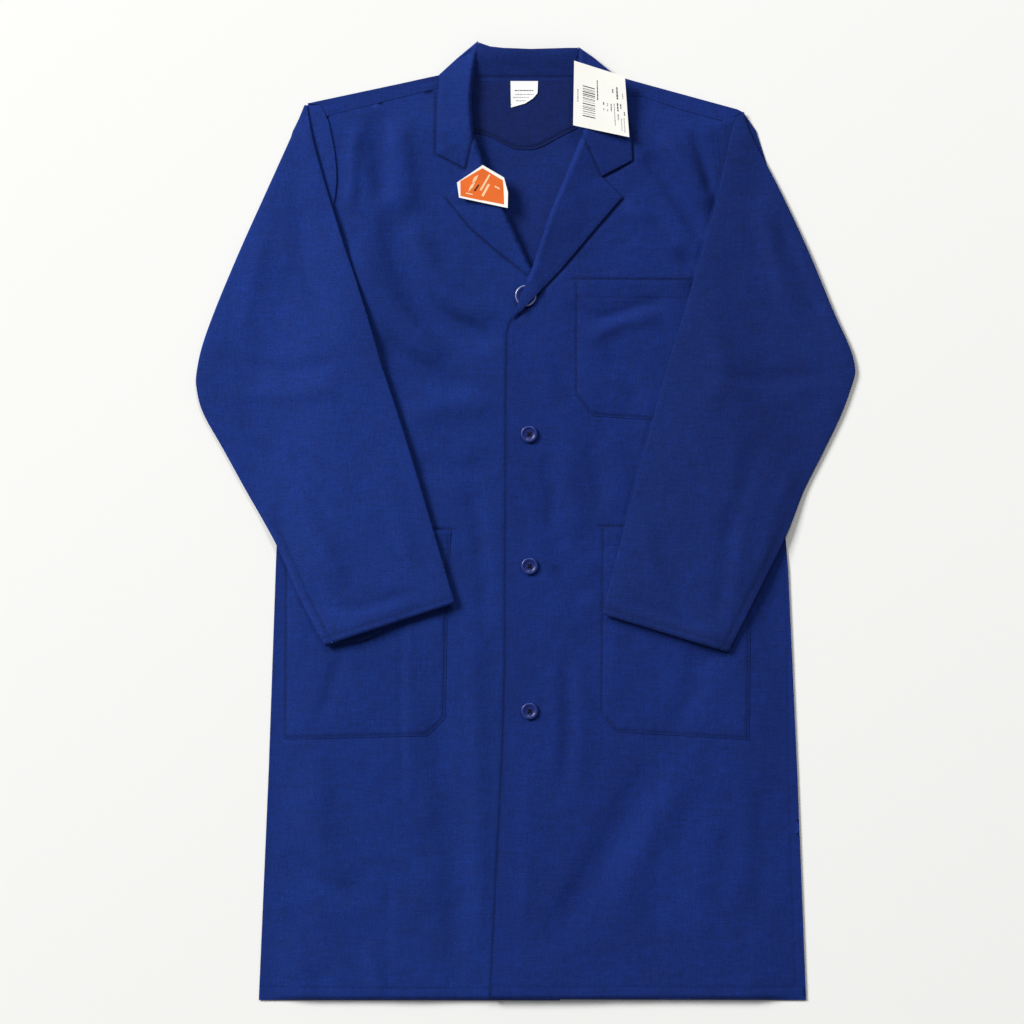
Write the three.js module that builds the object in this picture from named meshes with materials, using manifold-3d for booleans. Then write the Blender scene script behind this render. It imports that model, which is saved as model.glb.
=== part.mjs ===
// Knee-length work coat with a notched lapel collar, laid flat with its front up.
// Millimetres, +Z up, +Y towards the collar, +X towards the wearer's left sleeve.
// Every cloth piece is a thin closed sheet; the sheets are stacked with small gaps,
// and the torso, the sleeves and the pockets keep real air spaces between layers.
import * as THREE from 'three';
import { mergeVertices } from 'three/addons/utils/BufferGeometryUtils.js';
import Module from 'manifold-3d';

const wasm = await Module();
wasm.setup();

// ---- driving dimensions -------------------------------------------------
const CLOTH = 0.8;              // sheet thickness
const GAP = 0.4;                // air between touching layers
const STEP = CLOTH + GAP;       // one layer of the stack
const TORSO_AIR = 4.8;          // free height inside the torso
const POCKET_AIR = 4.8;         // free height inside a patch pocket
const SLEEVE_AIR = 4.8;         // free height inside a sleeve
const WALL = 1.2;               // width of a turned edge seen from above
const BUTTON_R = 9.2;           // the three lower buttons
const TOP_BUTTON_R = 12;        // the larger button at the lapel break
const BUTTON_T = 2.8;
const SEW_HOLE_R = 1.1;         // the four holes of a button
const SEW_PITCH = 2.5;          // from a button's centre to each hole
const THREAD_R = 0.65;
const SHANK_R = 1.2;            // thread shank through the cloth
const EYELET_R = 1.7;

// ---- layer heights ------------------------------------------------------
const Z_BACK = 0;
const Z_NECK_BACK = STEP;                                 // back panel lifted over the collar leaf
const Z_NECK_FACING = 2 * STEP;
const Z_R_FACING = CLOTH + TORSO_AIR;                     // 5.6
const Z_R_FRONT = Z_R_FACING + STEP;                      // 6.8
const Z_L_FACING = Z_R_FRONT + STEP;                      // 8.0
const Z_L_FRONT = Z_L_FACING + STEP;                      // 9.2
const Z_BUTTON = Z_L_FRONT + CLOTH + 1.1;                 // 11.1, on a thread shank
const Z_R_LAPEL = 11.2;
const Z_L_LAPEL = 14.6;
const Z_SLEEVE = 16.4;
const Z_SLEEVE_TOP = Z_SLEEVE + CLOTH + SLEEVE_AIR;       // 22.0

// ---- colours ------------------------------------------------------------
const mat = (c, r = 0.9, m = 0) => new THREE.MeshStandardMaterial({ color: c, roughness: r, metalness: m });
const NAVY = '#1f3576', NAVY_IN = '#23396f', NAVY_SLEEVE = '#233a80';

// ---- helpers ------------------------------------------------------------
const area = (p) => p.reduce((s, a, i) => { const b = p[(i + 1) % p.length]; return s + a[0] * b[1] - b[0] * a[1]; }, 0) / 2;
const ccw = (p) => (area(p) < 0 ? [...p].reverse() : p);

function extrude(points, z0, z1) {
  const shape = new THREE.Shape(ccw(points).map(([x, y]) => new THREE.Vector2(x, y)));
  const g = new THREE.ExtrudeGeometry(shape, { depth: z1 - z0, bevelEnabled: false, steps: 1 });
  g.translate(0, 0, z0);
  return g;
}
function solid(g) {
  g = g.index ? g.toNonIndexed() : g.clone();
  g.deleteAttribute('normal'); g.deleteAttribute('uv');
  g = mergeVertices(g, 1e-4);
  return new wasm.Manifold(new wasm.Mesh({ numProp: 3, vertProperties: new Float32Array(g.attributes.position.array), triVerts: new Uint32Array(g.index.array) }));
}
function geometry(m) {
  const q = m.getMesh();
  const g = new THREE.BufferGeometry();
  g.setAttribute('position', new THREE.BufferAttribute(new Float32Array(q.vertProperties), 3));
  g.setIndex(new THREE.BufferAttribute(new Uint32Array(q.triVerts), 1));
  g.computeVertexNormals();
  return g;
}
const sheet = (points, z0, z1) => solid(extrude(points, z0, z1));
function rod(x, y, r, z0, z1, n = 16) {
  const g = new THREE.CylinderGeometry(r, r, z1 - z0, n);
  g.rotateX(Math.PI / 2);
  g.translate(x, y, (z0 + z1) / 2);
  return solid(g);
}
// moves each edge of a polygon inwards by its own distance (negative = outwards)
function inset(points, dist) {
  const p = ccw(points), flipped = p !== points, n = p.length;
  const d = p.map((_, i) => (typeof dist === 'number' ? dist : dist[flipped ? (2 * n - 2 - i) % n : i]));
  const line = p.map((a, i) => {
    const b = p[(i + 1) % n], l = Math.hypot(b[0] - a[0], b[1] - a[1]);
    const u = [(b[0] - a[0]) / l, (b[1] - a[1]) / l], nrm = [-u[1], u[0]];
    return { q: [a[0] + nrm[0] * d[i], a[1] + nrm[1] * d[i]], u };
  });
  return line.map((l1, i) => {
    const l0 = line[(i + n - 1) % n];
    const det = l0.u[0] * l1.u[1] - l0.u[1] * l1.u[0];
    if (Math.abs(det) < 1e-4) return l1.q;
    const t = ((l1.q[0] - l0.q[0]) * l1.u[1] - (l1.q[1] - l0.q[1]) * l1.u[0]) / det;
    return [l0.q[0] + l0.u[0] * t, l0.q[1] + l0.u[1] * t];
  });
}
// a band of the given width on the left side of a polyline
function band(line, width) {
  const side = line.map((a, i) => {
    const b = line[Math.min(i + 1, line.length - 1)], c = line[Math.max(i - 1, 0)];
    const l = Math.hypot(b[0] - c[0], b[1] - c[1]);
    return [a[0] - (b[1] - c[1]) / l * width, a[1] + (b[0] - c[0]) / l * width];
  });
  return [...line, ...side.reverse()];
}

const group = new THREE.Group();
function add(name, m, material) {
  const mesh = new THREE.Mesh(geometry(m), material);
  mesh.name = name;
  group.add(mesh);
}

// ---- outlines -----------------------------------------------------------
const BACK = [[-237.6, 458.9], [-99.7, 488.3], [-57.8, 497], [-53.4, 485.1], [56.7, 485.1], [61, 498.1], [109, 486.1], [232.2, 452.4], [238.7, 449.1], [231.1, 406.6], [226.7, 352.1], [234.4, 286.7], [249.6, 232.2], [268.1, 194], [287.8, -51.2], [297.6, -269.2], [307.4, -521], [-291, -521], [-280.1, -269.2], [-272.5, -51.2], [-263.8, 194], [-245.3, 232.2], [-228.9, 286.7], [-221.3, 352.1], [-225.6, 406.6]];
const LEAF_ROOM = [[-92.7, 504.7], [95.9, 504.7], [95.9, 439.3], [-92.7, 439.3]];
const LEAF = [[-48, 519.9], [-27.3, 517.2], [5.5, 516.1], [38.2, 516.7], [54.5, 516.1], [70.9, 504.7], [81.8, 496], [88.3, 448], [-85, 448], [-79.6, 498.1], [-62.1, 513.4]];
const LEAF_FOLD = [[-48, 519.9], [-27.3, 517.2], [5.5, 516.1], [38.2, 516.7], [54.5, 516.1]];
const STAND = [[-49.6, 521.6], [-27.3, 518.8], [5.5, 517.8], [38.2, 518.3], [56.1, 517.8], [56.1, 504.7], [55.6, 485.7], [-52.9, 485.7], [-54, 502.5]];
const NECK_FACING = [[-53.4, 484.6], [56.7, 484.6], [55.6, 461.1], [53.4, 429.5], [25.1, 416.4], [5.5, 408.8], [-15.3, 410.9], [-34.9, 420.7], [-50.6, 424], [-53.4, 450.2]];
const R_FRONT = [[-214.7, 445.3], [-97, 474.7], [-68.7, 480.7], [-60, 461.1], [-56.7, 424], [-44.7, 392.4], [-19.6, 335.7], [6.5, 278], [21.8, 243.1], [33.8, 210.4], [38.2, 155.9], [38.2, -522.1], [-291, -521], [-280.1, -269.2], [-272.5, -51.2], [-263.8, 194], [-245.3, 232.2], [-228.9, 286.7], [-209.3, 349.9], [-206, 379.3], [-211.5, 410.9], [-218, 442.5]];
const R_FACING = [[-81.8, 476.3], [-68.7, 479.6], [-60, 461.1], [-56.7, 424], [-44.7, 392.4], [-19.6, 335.7], [6.5, 278], [21.8, 243.1], [33.8, 210.4], [37.1, 155.9], [37.1, -506.9], [-27.3, -506.9], [-27.3, 112.3], [-49.1, 210.4], [-81.8, 319.4], [-92.7, 406.6], [-95.9, 472]];
const L_FRONT = [[215.8, 439.3], [171.1, 451.3], [127.5, 466.5], [113.4, 466.5], [76.3, 478.5], [65.4, 461.1], [61, 424], [27.3, 337.9], [7.6, 278], [-13.1, 225.6], [-17.4, 208.2], [-18.5, 155.9], [-19.6, -150.4], [-21.8, -239.8], [267.1, -522.3], [307.4, -521], [297.6, -269.2], [287.8, -51.2], [268.1, 194], [249.6, 232.2], [232.2, 286.7], [224.5, 352.1], [213.6, 393.5], [211.5, 419.7]];
const L_SKIRT = [[-21.9, -241.1], [265.7, -522.3], [-36, -521], [-27.8, -354.2]];
const L_FACING = [[70.9, 476.3], [65.4, 461.1], [61.6, 422.9], [28.3, 337.9], [8.7, 278], [-12, 225.6], [-16.4, 208.2], [-17.4, 155.9], [-18.5, -150.4], [-20.7, -241.4], [43.6, -304.3], [43.6, 112.3], [70.9, 210.4], [94.8, 319.4], [103.6, 406.6], [97, 469.8]];
const L_FACING_SKIRT = [[-21.1, -243.1], [43.2, -306], [43.2, -506.9], [-33.8, -506.9], [-27.3, -354.2]];
const R_SIDE = [[-263.8, 194], [-272.5, -51.2], [-280.1, -269.2], [-291, -520.5]];
const L_SIDE = [[307.2, -520.5], [297.6, -269.2], [287.8, -51.2], [268.1, 194]];
const R_SHOULDER = [[-236.1, 458.5], [-99.7, 487.8], [-62.1, 495.3], [-67.6, 481.8], [-97, 475.7], [-214.7, 446.2], [-224, 447.4]];
const R_SHOULDER_EDGE = [[-234.4, 458.7], [-99.7, 487.8]];
const L_SHOULDER = [[236.5, 448.9], [232.2, 451.8], [109, 485.6], [64.3, 497.3], [75.2, 479.8], [113.4, 467.6], [127.5, 467.6], [171.1, 452.4], [214.7, 440.1]];
const L_SHOULDER_EDGE = [[109, 485.6], [232.2, 451.8]];
const R_WING = [[-51.2, 526.5], [-69.8, 515.6], [-92.7, 493.8], [-95.9, 450.2], [-95.9, 403.3], [-64.3, 387], [-56.7, 424.4], [-58.9, 461.1], [-55.6, 498.1], [-50.1, 522.1]];
const R_WING_EDGE = [[-51.8, 525.9], [-69.8, 515.4], [-86.1, 500.1]];
const L_WING = [[58.3, 519.9], [75.2, 507.9], [94.8, 491.6], [105.7, 466.5], [115.5, 419.7], [116.6, 395.7], [83.5, 378.4], [62.1, 424.4], [58.9, 461.1], [57.8, 504.7]];
const L_WING_EDGE = [[85, 499.2], [75.2, 507.5], [58.9, 519.1]];
const R_LAPEL = [[-56.7, 423.8], [-44.7, 392.4], [-19.6, 335.7], [5, 280.7], [-9.3, 280.7], [-28.3, 296.5], [-58.9, 322.6], [-85, 355.3], [-64.3, 386.3]];
const L_LAPEL = [[62.1, 423.8], [83.4, 377.7], [105.7, 355.3], [73, 317.2], [38.2, 275.8], [-12.5, 223.5], [-13.1, 225.6], [7.6, 278], [27.3, 337.9]];
const CHEST_POCKET = [[184.2, 264.3], [54, 264.9], [54, 140.6], [71.9, 117.2], [165.7, 110.6], [184.2, 133]];
const R_POCKET = [[-262.7, -1.1], [-81.1, -8.4], [-85, -99.2], [-87.2, -213.6], [-106.8, -232.2], [-263.8, -236.1]];
const L_POCKET = [[83.2, -4.8], [247.4, -4.4], [244.2, -236.5], [99.2, -227.8], [81.4, -208.2]];
const R_CAP = [[-236, 456.7], [-224.9, 456.7], [-218, 442.5], [-211.5, 410.9], [-206, 379.3], [-209.3, 349.9], [-221.3, 324.8], [-245.3, 335.7], [-256.2, 373.9], [-249.6, 417.5]];
const L_CAP = [[237.6, 448], [215.8, 438.2], [211.5, 419.7], [213.6, 393.5], [209.3, 352.1], [221.3, 324.8], [245.3, 335.7], [256.2, 373.9], [249.6, 417.5]];
const R_UPPER = [[-361.3, 156.3], [-156.1, 170.5], [-162.4, 194], [-184.2, 264.9], [-198.4, 306.3], [-218, 369.5], [-232.2, 421.8], [-238.2, 454.5], [-242, 454.5], [-252.9, 428.4], [-282.3, 363], [-311.7, 297.6], [-339, 232.2], [-356.4, 188.6], [-361.9, 169]];
const R_FORE = [[-76.3, -87.2], [-218, -133.5], [-244.2, -83.9], [-271.4, -24], [-305.2, 36], [-329.2, 79.6], [-353.2, 123.2], [-360.8, 145], [-361.3, 155.2], [-155.7, 169.4], [-147.2, 145], [-124.3, 74.1], [-92.7, -32.7]];
const L_UPPER = [[156.1, 175.9], [363, 165], [363, 169], [356.4, 188.6], [336.8, 232.2], [309.6, 297.6], [279, 363], [245.3, 428.4], [239.3, 449.1], [236.5, 449.1], [226.7, 431.6], [215.8, 382.6], [204.9, 337.9], [191.8, 293.2], [171.1, 222.4]];
const L_FORE = [[221.3, -140.6], [83.9, -99.2], [100.3, -34.9], [128.6, 74.1], [147.2, 142.8], [155.9, 174.8], [363, 163.9], [356.4, 145], [347.7, 123.2], [327, 79.6], [305.2, 36], [285.6, -13.1], [252.9, -78.5]];
const NECK_LABEL = [[-15.8, 482.3], [14.2, 482.3], [13.1, 467.6], [3.3, 460], [-15.3, 454]];
const WHITE_TAG = [[53.4, 503], [108.6, 485.6], [113.4, 419.7], [52.3, 432.7]];
const ORANGE_TAG = [[-46.1, 389.7], [-22.9, 376.1], [-18.5, 359.7], [-18.9, 342.9], [-71.9, 354.2], [-74.1, 370.6]];
const WHITE_PIN = [59.4, 496.5];
const ORANGE_PIN = [-44.7, 381.5];
const BUTTONS = [[[0.8, 247.8], TOP_BUTTON_R], [[4.4, 97], BUTTON_R], [[4.9, -46.9], BUTTON_R], [[4.9, -204.9], BUTTON_R]];

// ---- torso --------------------------------------------------------------
const eyelets = BUTTONS.map(([[x, y]]) => rod(x, y, EYELET_R, 4, 12, 16)).reduce((a, b) => a.add(b));
const room = sheet(LEAF_ROOM, -1, 3);
const backFlat = sheet(BACK, Z_BACK, CLOTH).subtract(room);
const backAll = sheet(BACK, Z_BACK, Z_NECK_BACK + CLOTH);
const raised = sheet(LEAF_ROOM, Z_NECK_BACK, Z_NECK_BACK + CLOTH)
  .add(sheet(LEAF_ROOM, Z_BACK, Z_NECK_BACK + CLOTH).subtract(sheet(inset(LEAF_ROOM, 1.5), -1, Z_NECK_BACK)));
// the wall stands on three sides only: the top edge of the neck stays open
const lifted = raised.intersect(backAll);
add('back_panel', backFlat.add(lifted), mat(NAVY_IN));
add('back_neck_facing', sheet(NECK_FACING, Z_NECK_FACING, Z_NECK_FACING + CLOTH), mat('#1b2c66'));
add('right_front', sheet(R_FRONT, Z_R_FRONT, Z_R_FRONT + CLOTH).subtract(eyelets), mat(NAVY));
add('right_front_facing', sheet(R_FACING, Z_R_FACING, Z_R_FACING + CLOTH).subtract(eyelets), mat(NAVY_IN));
add('left_front', sheet(L_FRONT, Z_L_FRONT, Z_L_FRONT + CLOTH).subtract(eyelets), mat(NAVY));
add('left_front_facing', sheet(L_FACING, Z_L_FACING, Z_L_FACING + CLOTH).subtract(eyelets), mat(NAVY_IN));
add('left_front_skirt_corner', sheet(L_SKIRT, Z_L_FRONT, Z_L_FRONT + CLOTH), mat(NAVY));
add('left_facing_skirt_corner', sheet(L_FACING_SKIRT, Z_L_FACING, Z_L_FACING + CLOTH), mat(NAVY_IN));
add('right_side_seam', sheet(band(R_SIDE, 2), STEP, Z_R_FRONT - GAP), mat(NAVY));
add('left_side_seam', sheet(band(L_SIDE, 2), STEP, Z_L_FRONT - GAP), mat(NAVY));
add('right_shoulder_strip', sheet(R_SHOULDER, Z_R_FRONT, Z_R_FRONT + CLOTH)
  .add(sheet(band([...R_SHOULDER_EDGE].reverse(), WALL), STEP, Z_R_FRONT + 0.4)), mat(NAVY));
add('left_shoulder_strip', sheet(L_SHOULDER, Z_L_FRONT, Z_L_FRONT + CLOTH)
  .add(sheet(band([...L_SHOULDER_EDGE].reverse(), WALL), STEP, Z_L_FRONT + 0.4)), mat(NAVY));

// ---- collar and lapels --------------------------------------------------
add('collar_leaf', sheet(LEAF, 0, CLOTH).add(sheet(band([...LEAF_FOLD].reverse(), WALL), 0, Z_NECK_FACING - GAP)), mat(NAVY));
add('collar_stand', sheet(STAND, Z_NECK_FACING, Z_NECK_FACING + CLOTH), mat(NAVY_IN));
add('right_collar_wing', sheet(R_WING, Z_R_LAPEL, Z_R_LAPEL + CLOTH)
  .add(sheet(band(R_WING_EDGE, WALL), STEP, Z_R_LAPEL + 0.4)), mat(NAVY));
add('left_collar_wing', sheet(L_WING, Z_L_LAPEL, Z_L_LAPEL + CLOTH)
  .add(sheet(band(L_WING_EDGE, WALL), STEP, Z_L_LAPEL + 0.4)), mat(NAVY));
add('right_lapel', sheet(R_LAPEL, Z_R_LAPEL, Z_R_LAPEL + CLOTH), mat(NAVY));
add('left_lapel', sheet(L_LAPEL, Z_L_LAPEL, Z_L_LAPEL + CLOTH), mat(NAVY));

// ---- patch pockets: sewn down on three sides, open at the top edge ------
function pocket(outline, z) {
  const open = outline.map((_, i) => (i === 0 ? -3 : WALL));
  return sheet(outline, z + GAP, z + POCKET_AIR + CLOTH).subtract(sheet(inset(outline, open), z - 1, z + POCKET_AIR));
}
add('chest_pocket', pocket(CHEST_POCKET, Z_L_FRONT + CLOTH), mat(NAVY));
add('right_lower_pocket', pocket(R_POCKET, Z_R_FRONT + CLOTH), mat(NAVY));
add('left_lower_pocket', pocket(L_POCKET, Z_L_FRONT + CLOTH), mat(NAVY));

// ---- sleeves: a flat under sheet and a top sheet with turned long edges --
function sleeve(name, outline, ends, material) {
  const open = outline.map((_, i) => (ends.includes(i) ? -3 : WALL));
  add(name + '_under', sheet(outline, Z_SLEEVE, Z_SLEEVE + CLOTH), material);
  add(name + '_top', sheet(outline, Z_SLEEVE + STEP, Z_SLEEVE_TOP + CLOTH)
    .subtract(sheet(inset(outline, open), Z_SLEEVE, Z_SLEEVE_TOP)), material);
}
sleeve('right_upper_sleeve', R_UPPER, [0], mat(NAVY_SLEEVE));
sleeve('right_forearm_sleeve', R_FORE, [0, 8], mat(NAVY_SLEEVE));
sleeve('left_upper_sleeve', L_UPPER, [0], mat('#1c2f6b'));
sleeve('left_forearm_sleeve', L_FORE, [0, 5], mat('#1c2f6b'));
add('right_sleeve_cap', sheet(R_CAP, Z_R_FRONT + STEP, Z_R_FRONT + STEP + CLOTH), mat(NAVY_SLEEVE));
add('left_sleeve_cap', sheet(L_CAP, Z_L_FRONT + STEP, Z_L_FRONT + STEP + CLOTH), mat('#1c2f6b'));

// ---- buttons: turned disc with a raised rim and four sewing holes -------
BUTTONS.forEach(([[x, y], r], k) => {
  const z = Z_BUTTON, prof = [[0, 0], [r * 0.72, 0], [r, 0.9], [r, 2.1], [r * 0.93, BUTTON_T], [r * 0.8, BUTTON_T], [r * 0.66, 1.9], [0, 1.7]];
  const g = new THREE.LatheGeometry(prof.map(([a, b]) => new THREE.Vector2(a, b)), 32);
  g.rotateX(Math.PI / 2);
  g.translate(x, y, z);
  let b = solid(g), t = rod(x, y, SHANK_R, Z_R_FACING + 0.1, z - 0.35, 12);
  for (let i = 0; i < 4; i++) {
    const a = Math.PI / 4 + i * Math.PI / 2, hx = x + Math.cos(a) * SEW_PITCH, hy = y + Math.sin(a) * SEW_PITCH;
    b = b.subtract(rod(hx, hy, SEW_HOLE_R, z - 1, z + 4, 12));
    t = t.add(rod(hx, hy, THREAD_R, z - 0.7, z + 2.4, 8));
  }
  for (const s of [1, -1]) {
    for (const [lo, hi] of [[z - 0.75, z - 0.35], [z + 2.0, z + 2.6]]) {
      const g2 = new THREE.BoxGeometry(2 * SEW_PITCH + 0.8, 1.0, hi - lo);
      g2.rotateZ(s * Math.PI / 4);
      g2.translate(x, y, (lo + hi) / 2);
      t = t.add(solid(g2));
    }
  }
  add('button_' + (k + 1), b, mat('#1a2a66', 0.35));
  add('button_thread_' + (k + 1), t, mat('#141f4c', 0.8));
});

// ---- label and hang tags ------------------------------------------------
add('neck_label', sheet(NECK_LABEL, 3.6, 4.0), mat('#f4f4f0', 0.8));
function pin(p, z0, z1) {
  const bar = new THREE.BoxGeometry(6, 1.2, 0.8);
  bar.translate(p[0], p[1], z1 + 0.4);
  return rod(p[0], p[1], 0.5, z0, z1 + 0.1, 10).add(solid(bar));
}
add('white_hang_tag', sheet(WHITE_TAG, 16.0, 16.5).subtract(rod(...WHITE_PIN, 1.0, 15, 18)), mat('#f6f4ea', 0.6));
add('white_tag_fastener', pin(WHITE_PIN, 15.5, 16.9), mat('#e8e8e8', 0.4));
add('orange_hang_tag', sheet(ORANGE_TAG, 12.9, 13.4).subtract(rod(...ORANGE_PIN, 1.0, 12, 15)), mat('#ee8a4a', 0.5));
add('orange_tag_fastener', pin(ORANGE_PIN, 12.4, 13.8), mat('#2a2418', 0.4));

// ---- put the origin under the middle of the whole coat ------------------
const box = new THREE.Box3().setFromObject(group);
group.position.set(-(box.min.x + box.max.x) / 2, -(box.min.y + box.max.y) / 2, -box.min.z);
group.updateMatrixWorld(true);

export default group;
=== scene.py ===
import math
import bpy
import numpy as np
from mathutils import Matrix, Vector
from mathutils.geometry import delaunay_2d_cdt

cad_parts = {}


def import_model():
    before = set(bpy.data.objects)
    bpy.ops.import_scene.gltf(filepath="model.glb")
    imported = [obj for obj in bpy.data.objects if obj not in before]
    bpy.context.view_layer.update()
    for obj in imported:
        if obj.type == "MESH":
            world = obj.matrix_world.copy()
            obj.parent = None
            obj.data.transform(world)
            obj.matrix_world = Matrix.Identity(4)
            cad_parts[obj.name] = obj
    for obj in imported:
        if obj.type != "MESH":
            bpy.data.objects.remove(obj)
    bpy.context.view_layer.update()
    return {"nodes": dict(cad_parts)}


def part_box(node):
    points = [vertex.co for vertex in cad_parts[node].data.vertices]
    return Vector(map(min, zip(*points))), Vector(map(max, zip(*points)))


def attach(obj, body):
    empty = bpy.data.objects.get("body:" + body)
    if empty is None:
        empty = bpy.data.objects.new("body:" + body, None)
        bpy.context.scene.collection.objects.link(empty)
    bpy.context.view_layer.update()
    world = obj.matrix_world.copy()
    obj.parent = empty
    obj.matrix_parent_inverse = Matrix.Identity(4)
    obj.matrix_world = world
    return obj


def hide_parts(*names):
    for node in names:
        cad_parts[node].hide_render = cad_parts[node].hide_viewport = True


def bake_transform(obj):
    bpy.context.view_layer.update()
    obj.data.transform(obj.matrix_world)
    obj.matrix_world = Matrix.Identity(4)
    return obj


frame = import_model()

# ------------------------------------------------------------------ frame
# Outlines are written in millimetres about the coat's own middle; OFF moves
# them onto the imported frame, measured on the back panel.
BACK = np.array([(-237.6, 458.9), (-99.7, 488.3), (-57.8, 497), (-53.4, 485.1), (56.7, 485.1), (61, 498.1), (109, 486.1), (232.2, 452.4), (238.7, 449.1), (231.1, 406.6), (226.7, 352.1), (234.4, 286.7), (249.6, 232.2), (268.1, 194), (287.8, -51.2), (297.6, -269.2), (307.4, -521), (-291, -521), (-280.1, -269.2), (-272.5, -51.2), (-263.8, 194), (-245.3, 232.2), (-228.9, 286.7), (-221.3, 352.1), (-225.6, 406.6)])
_lo, _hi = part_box("back_panel")
OFF = np.array([_lo[0] * 1000 - BACK[:, 0].min(), _lo[1] * 1000 - BACK[:, 1].min()])


def world(v):
    v = np.asarray(v, float).reshape(-1, 3).copy()
    v[:, 0] += OFF[0]
    v[:, 1] += OFF[1]
    return v / 1000.0


def wp(x, y, z=8.0):
    return tuple(world([[x, y, z]])[0])


# ------------------------------------------------------------------ maths
def ss(t):
    t = np.clip(t, 0, 1)
    return t * t * (3 - 2 * t)


def seg_dist(P, L, closed=False):
    """distance from points to a polyline, and the arc position of the foot"""
    L = np.asarray(L, float)
    A = L if closed else L[:-1]
    B = np.roll(L, -1, 0) if closed else L[1:]
    best = np.full(len(P), 1e9)
    arc = np.zeros(len(P))
    acc = 0.0
    for a, b in zip(A, B):
        d = b - a
        ll = float(d @ d)
        l = math.sqrt(ll)
        if l < 1e-9:
            continue
        t = np.clip(((P - a) @ d) / ll, 0, 1)
        q = P - (a + t[:, None] * d)
        r = np.hypot(q[:, 0], q[:, 1])
        m = r < best
        best[m] = r[m]
        arc[m] = acc + t[m] * l
        acc += l
    return best, arc / max(acc, 1e-9)


def inside(P, L):
    L = np.asarray(L, float)
    x, y = P[:, 0], P[:, 1]
    c = np.zeros(len(P), bool)
    n = len(L)
    for i in range(n):
        x1, y1 = L[i]
        x2, y2 = L[(i + 1) % n]
        if y1 == y2:
            continue
        m = ((y1 > y) != (y2 > y)) & (x < (x2 - x1) * (y - y1) / (y2 - y1) + x1)
        c ^= m
    return c


def resample(L, sp, closed=False):
    L = np.asarray(L, float)
    out = []
    n = len(L)
    for i in range(n if closed else n - 1):
        a, b = L[i], L[(i + 1) % n]
        k = max(1, int(round(np.hypot(*(b - a)) / sp)))
        for j in range(k):
            out.append(a + (b - a) * j / k)
    if not closed:
        out.append(L[-1])
    return np.array(out)


def smooth_line(L, sp=4.0):
    """Catmull-Rom through the points"""
    L = np.asarray(L, float)
    n = len(L)
    out = []
    for i in range(n - 1):
        p0, p1, p2, p3 = L[max(i - 1, 0)], L[i], L[i + 1], L[min(i + 2, n - 1)]
        k = max(2, int(np.hypot(*(p2 - p1)) / sp))
        for j in range(k):
            t = j / k
            out.append(0.5 * ((2 * p1) + (-p0 + p2) * t + (2 * p0 - 5 * p1 + 4 * p2 - p3) * t * t + (-p0 + 3 * p1 - 3 * p2 + p3) * t ** 3))
    out.append(L[-1])
    return np.array(out)


def noise(x, y, scale, seed):
    """smooth value noise, -1 to 1, from a seeded lattice"""
    rng = np.random.RandomState(seed)
    g = rng.rand(97, 97) * 2 - 1
    u, v = np.asarray(x) / scale + 31.3 + seed * 0.37, np.asarray(y) / scale + 47.7
    i, j = np.floor(u).astype(int), np.floor(v).astype(int)
    fu, fv = ss(u - i), ss(v - j)
    a = g[i % 97, j % 97]
    b = g[(i + 1) % 97, j % 97]
    c = g[i % 97, (j + 1) % 97]
    d = g[(i + 1) % 97, (j + 1) % 97]
    return (a * (1 - fu) + b * fu) * (1 - fv) + (c * (1 - fu) + d * fu) * fv


def crease(P, line, amp, width, fade=0.25):
    """a soft ridge (or groove when amp is negative) along a polyline, dying out at its ends"""
    d, t = seg_dist(P, smooth_line(np.array(line)))
    end = ss(t / fade) * ss((1 - t) / fade)
    return amp * np.exp(-(d / (0.88 * width)) ** 2) * end


# ------------------------------------------------------------ the stack
DROP_EDGES = [np.array([(-291, -521), (-280.1, -269.2), (-272.5, -51.2), (-263.8, 194), (-245.3, 232.2), (-228.9, 286.7), (-221.3, 352.1), (-225.6, 406.6), (-237.6, 458.9), (-99.7, 488.3), (-57.8, 497)]),
              np.array([(61, 498.1), (109, 486.1), (232.2, 452.4), (238.7, 449.1), (231.1, 406.6), (226.7, 352.1), (234.4, 286.7), (249.6, 232.2), (268.1, 194), (287.8, -51.2), (297.6, -269.2), (307.4, -521)])]
LAP_EDGE = np.array([(38.2, 210.4), (38.2, -524.3)])


def din(P):
    d = np.minimum(seg_dist(P, DROP_EDGES[0])[0], seg_dist(P, DROP_EDGES[1])[0])
    return np.where(inside(P, BACK), d, -d)


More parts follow.
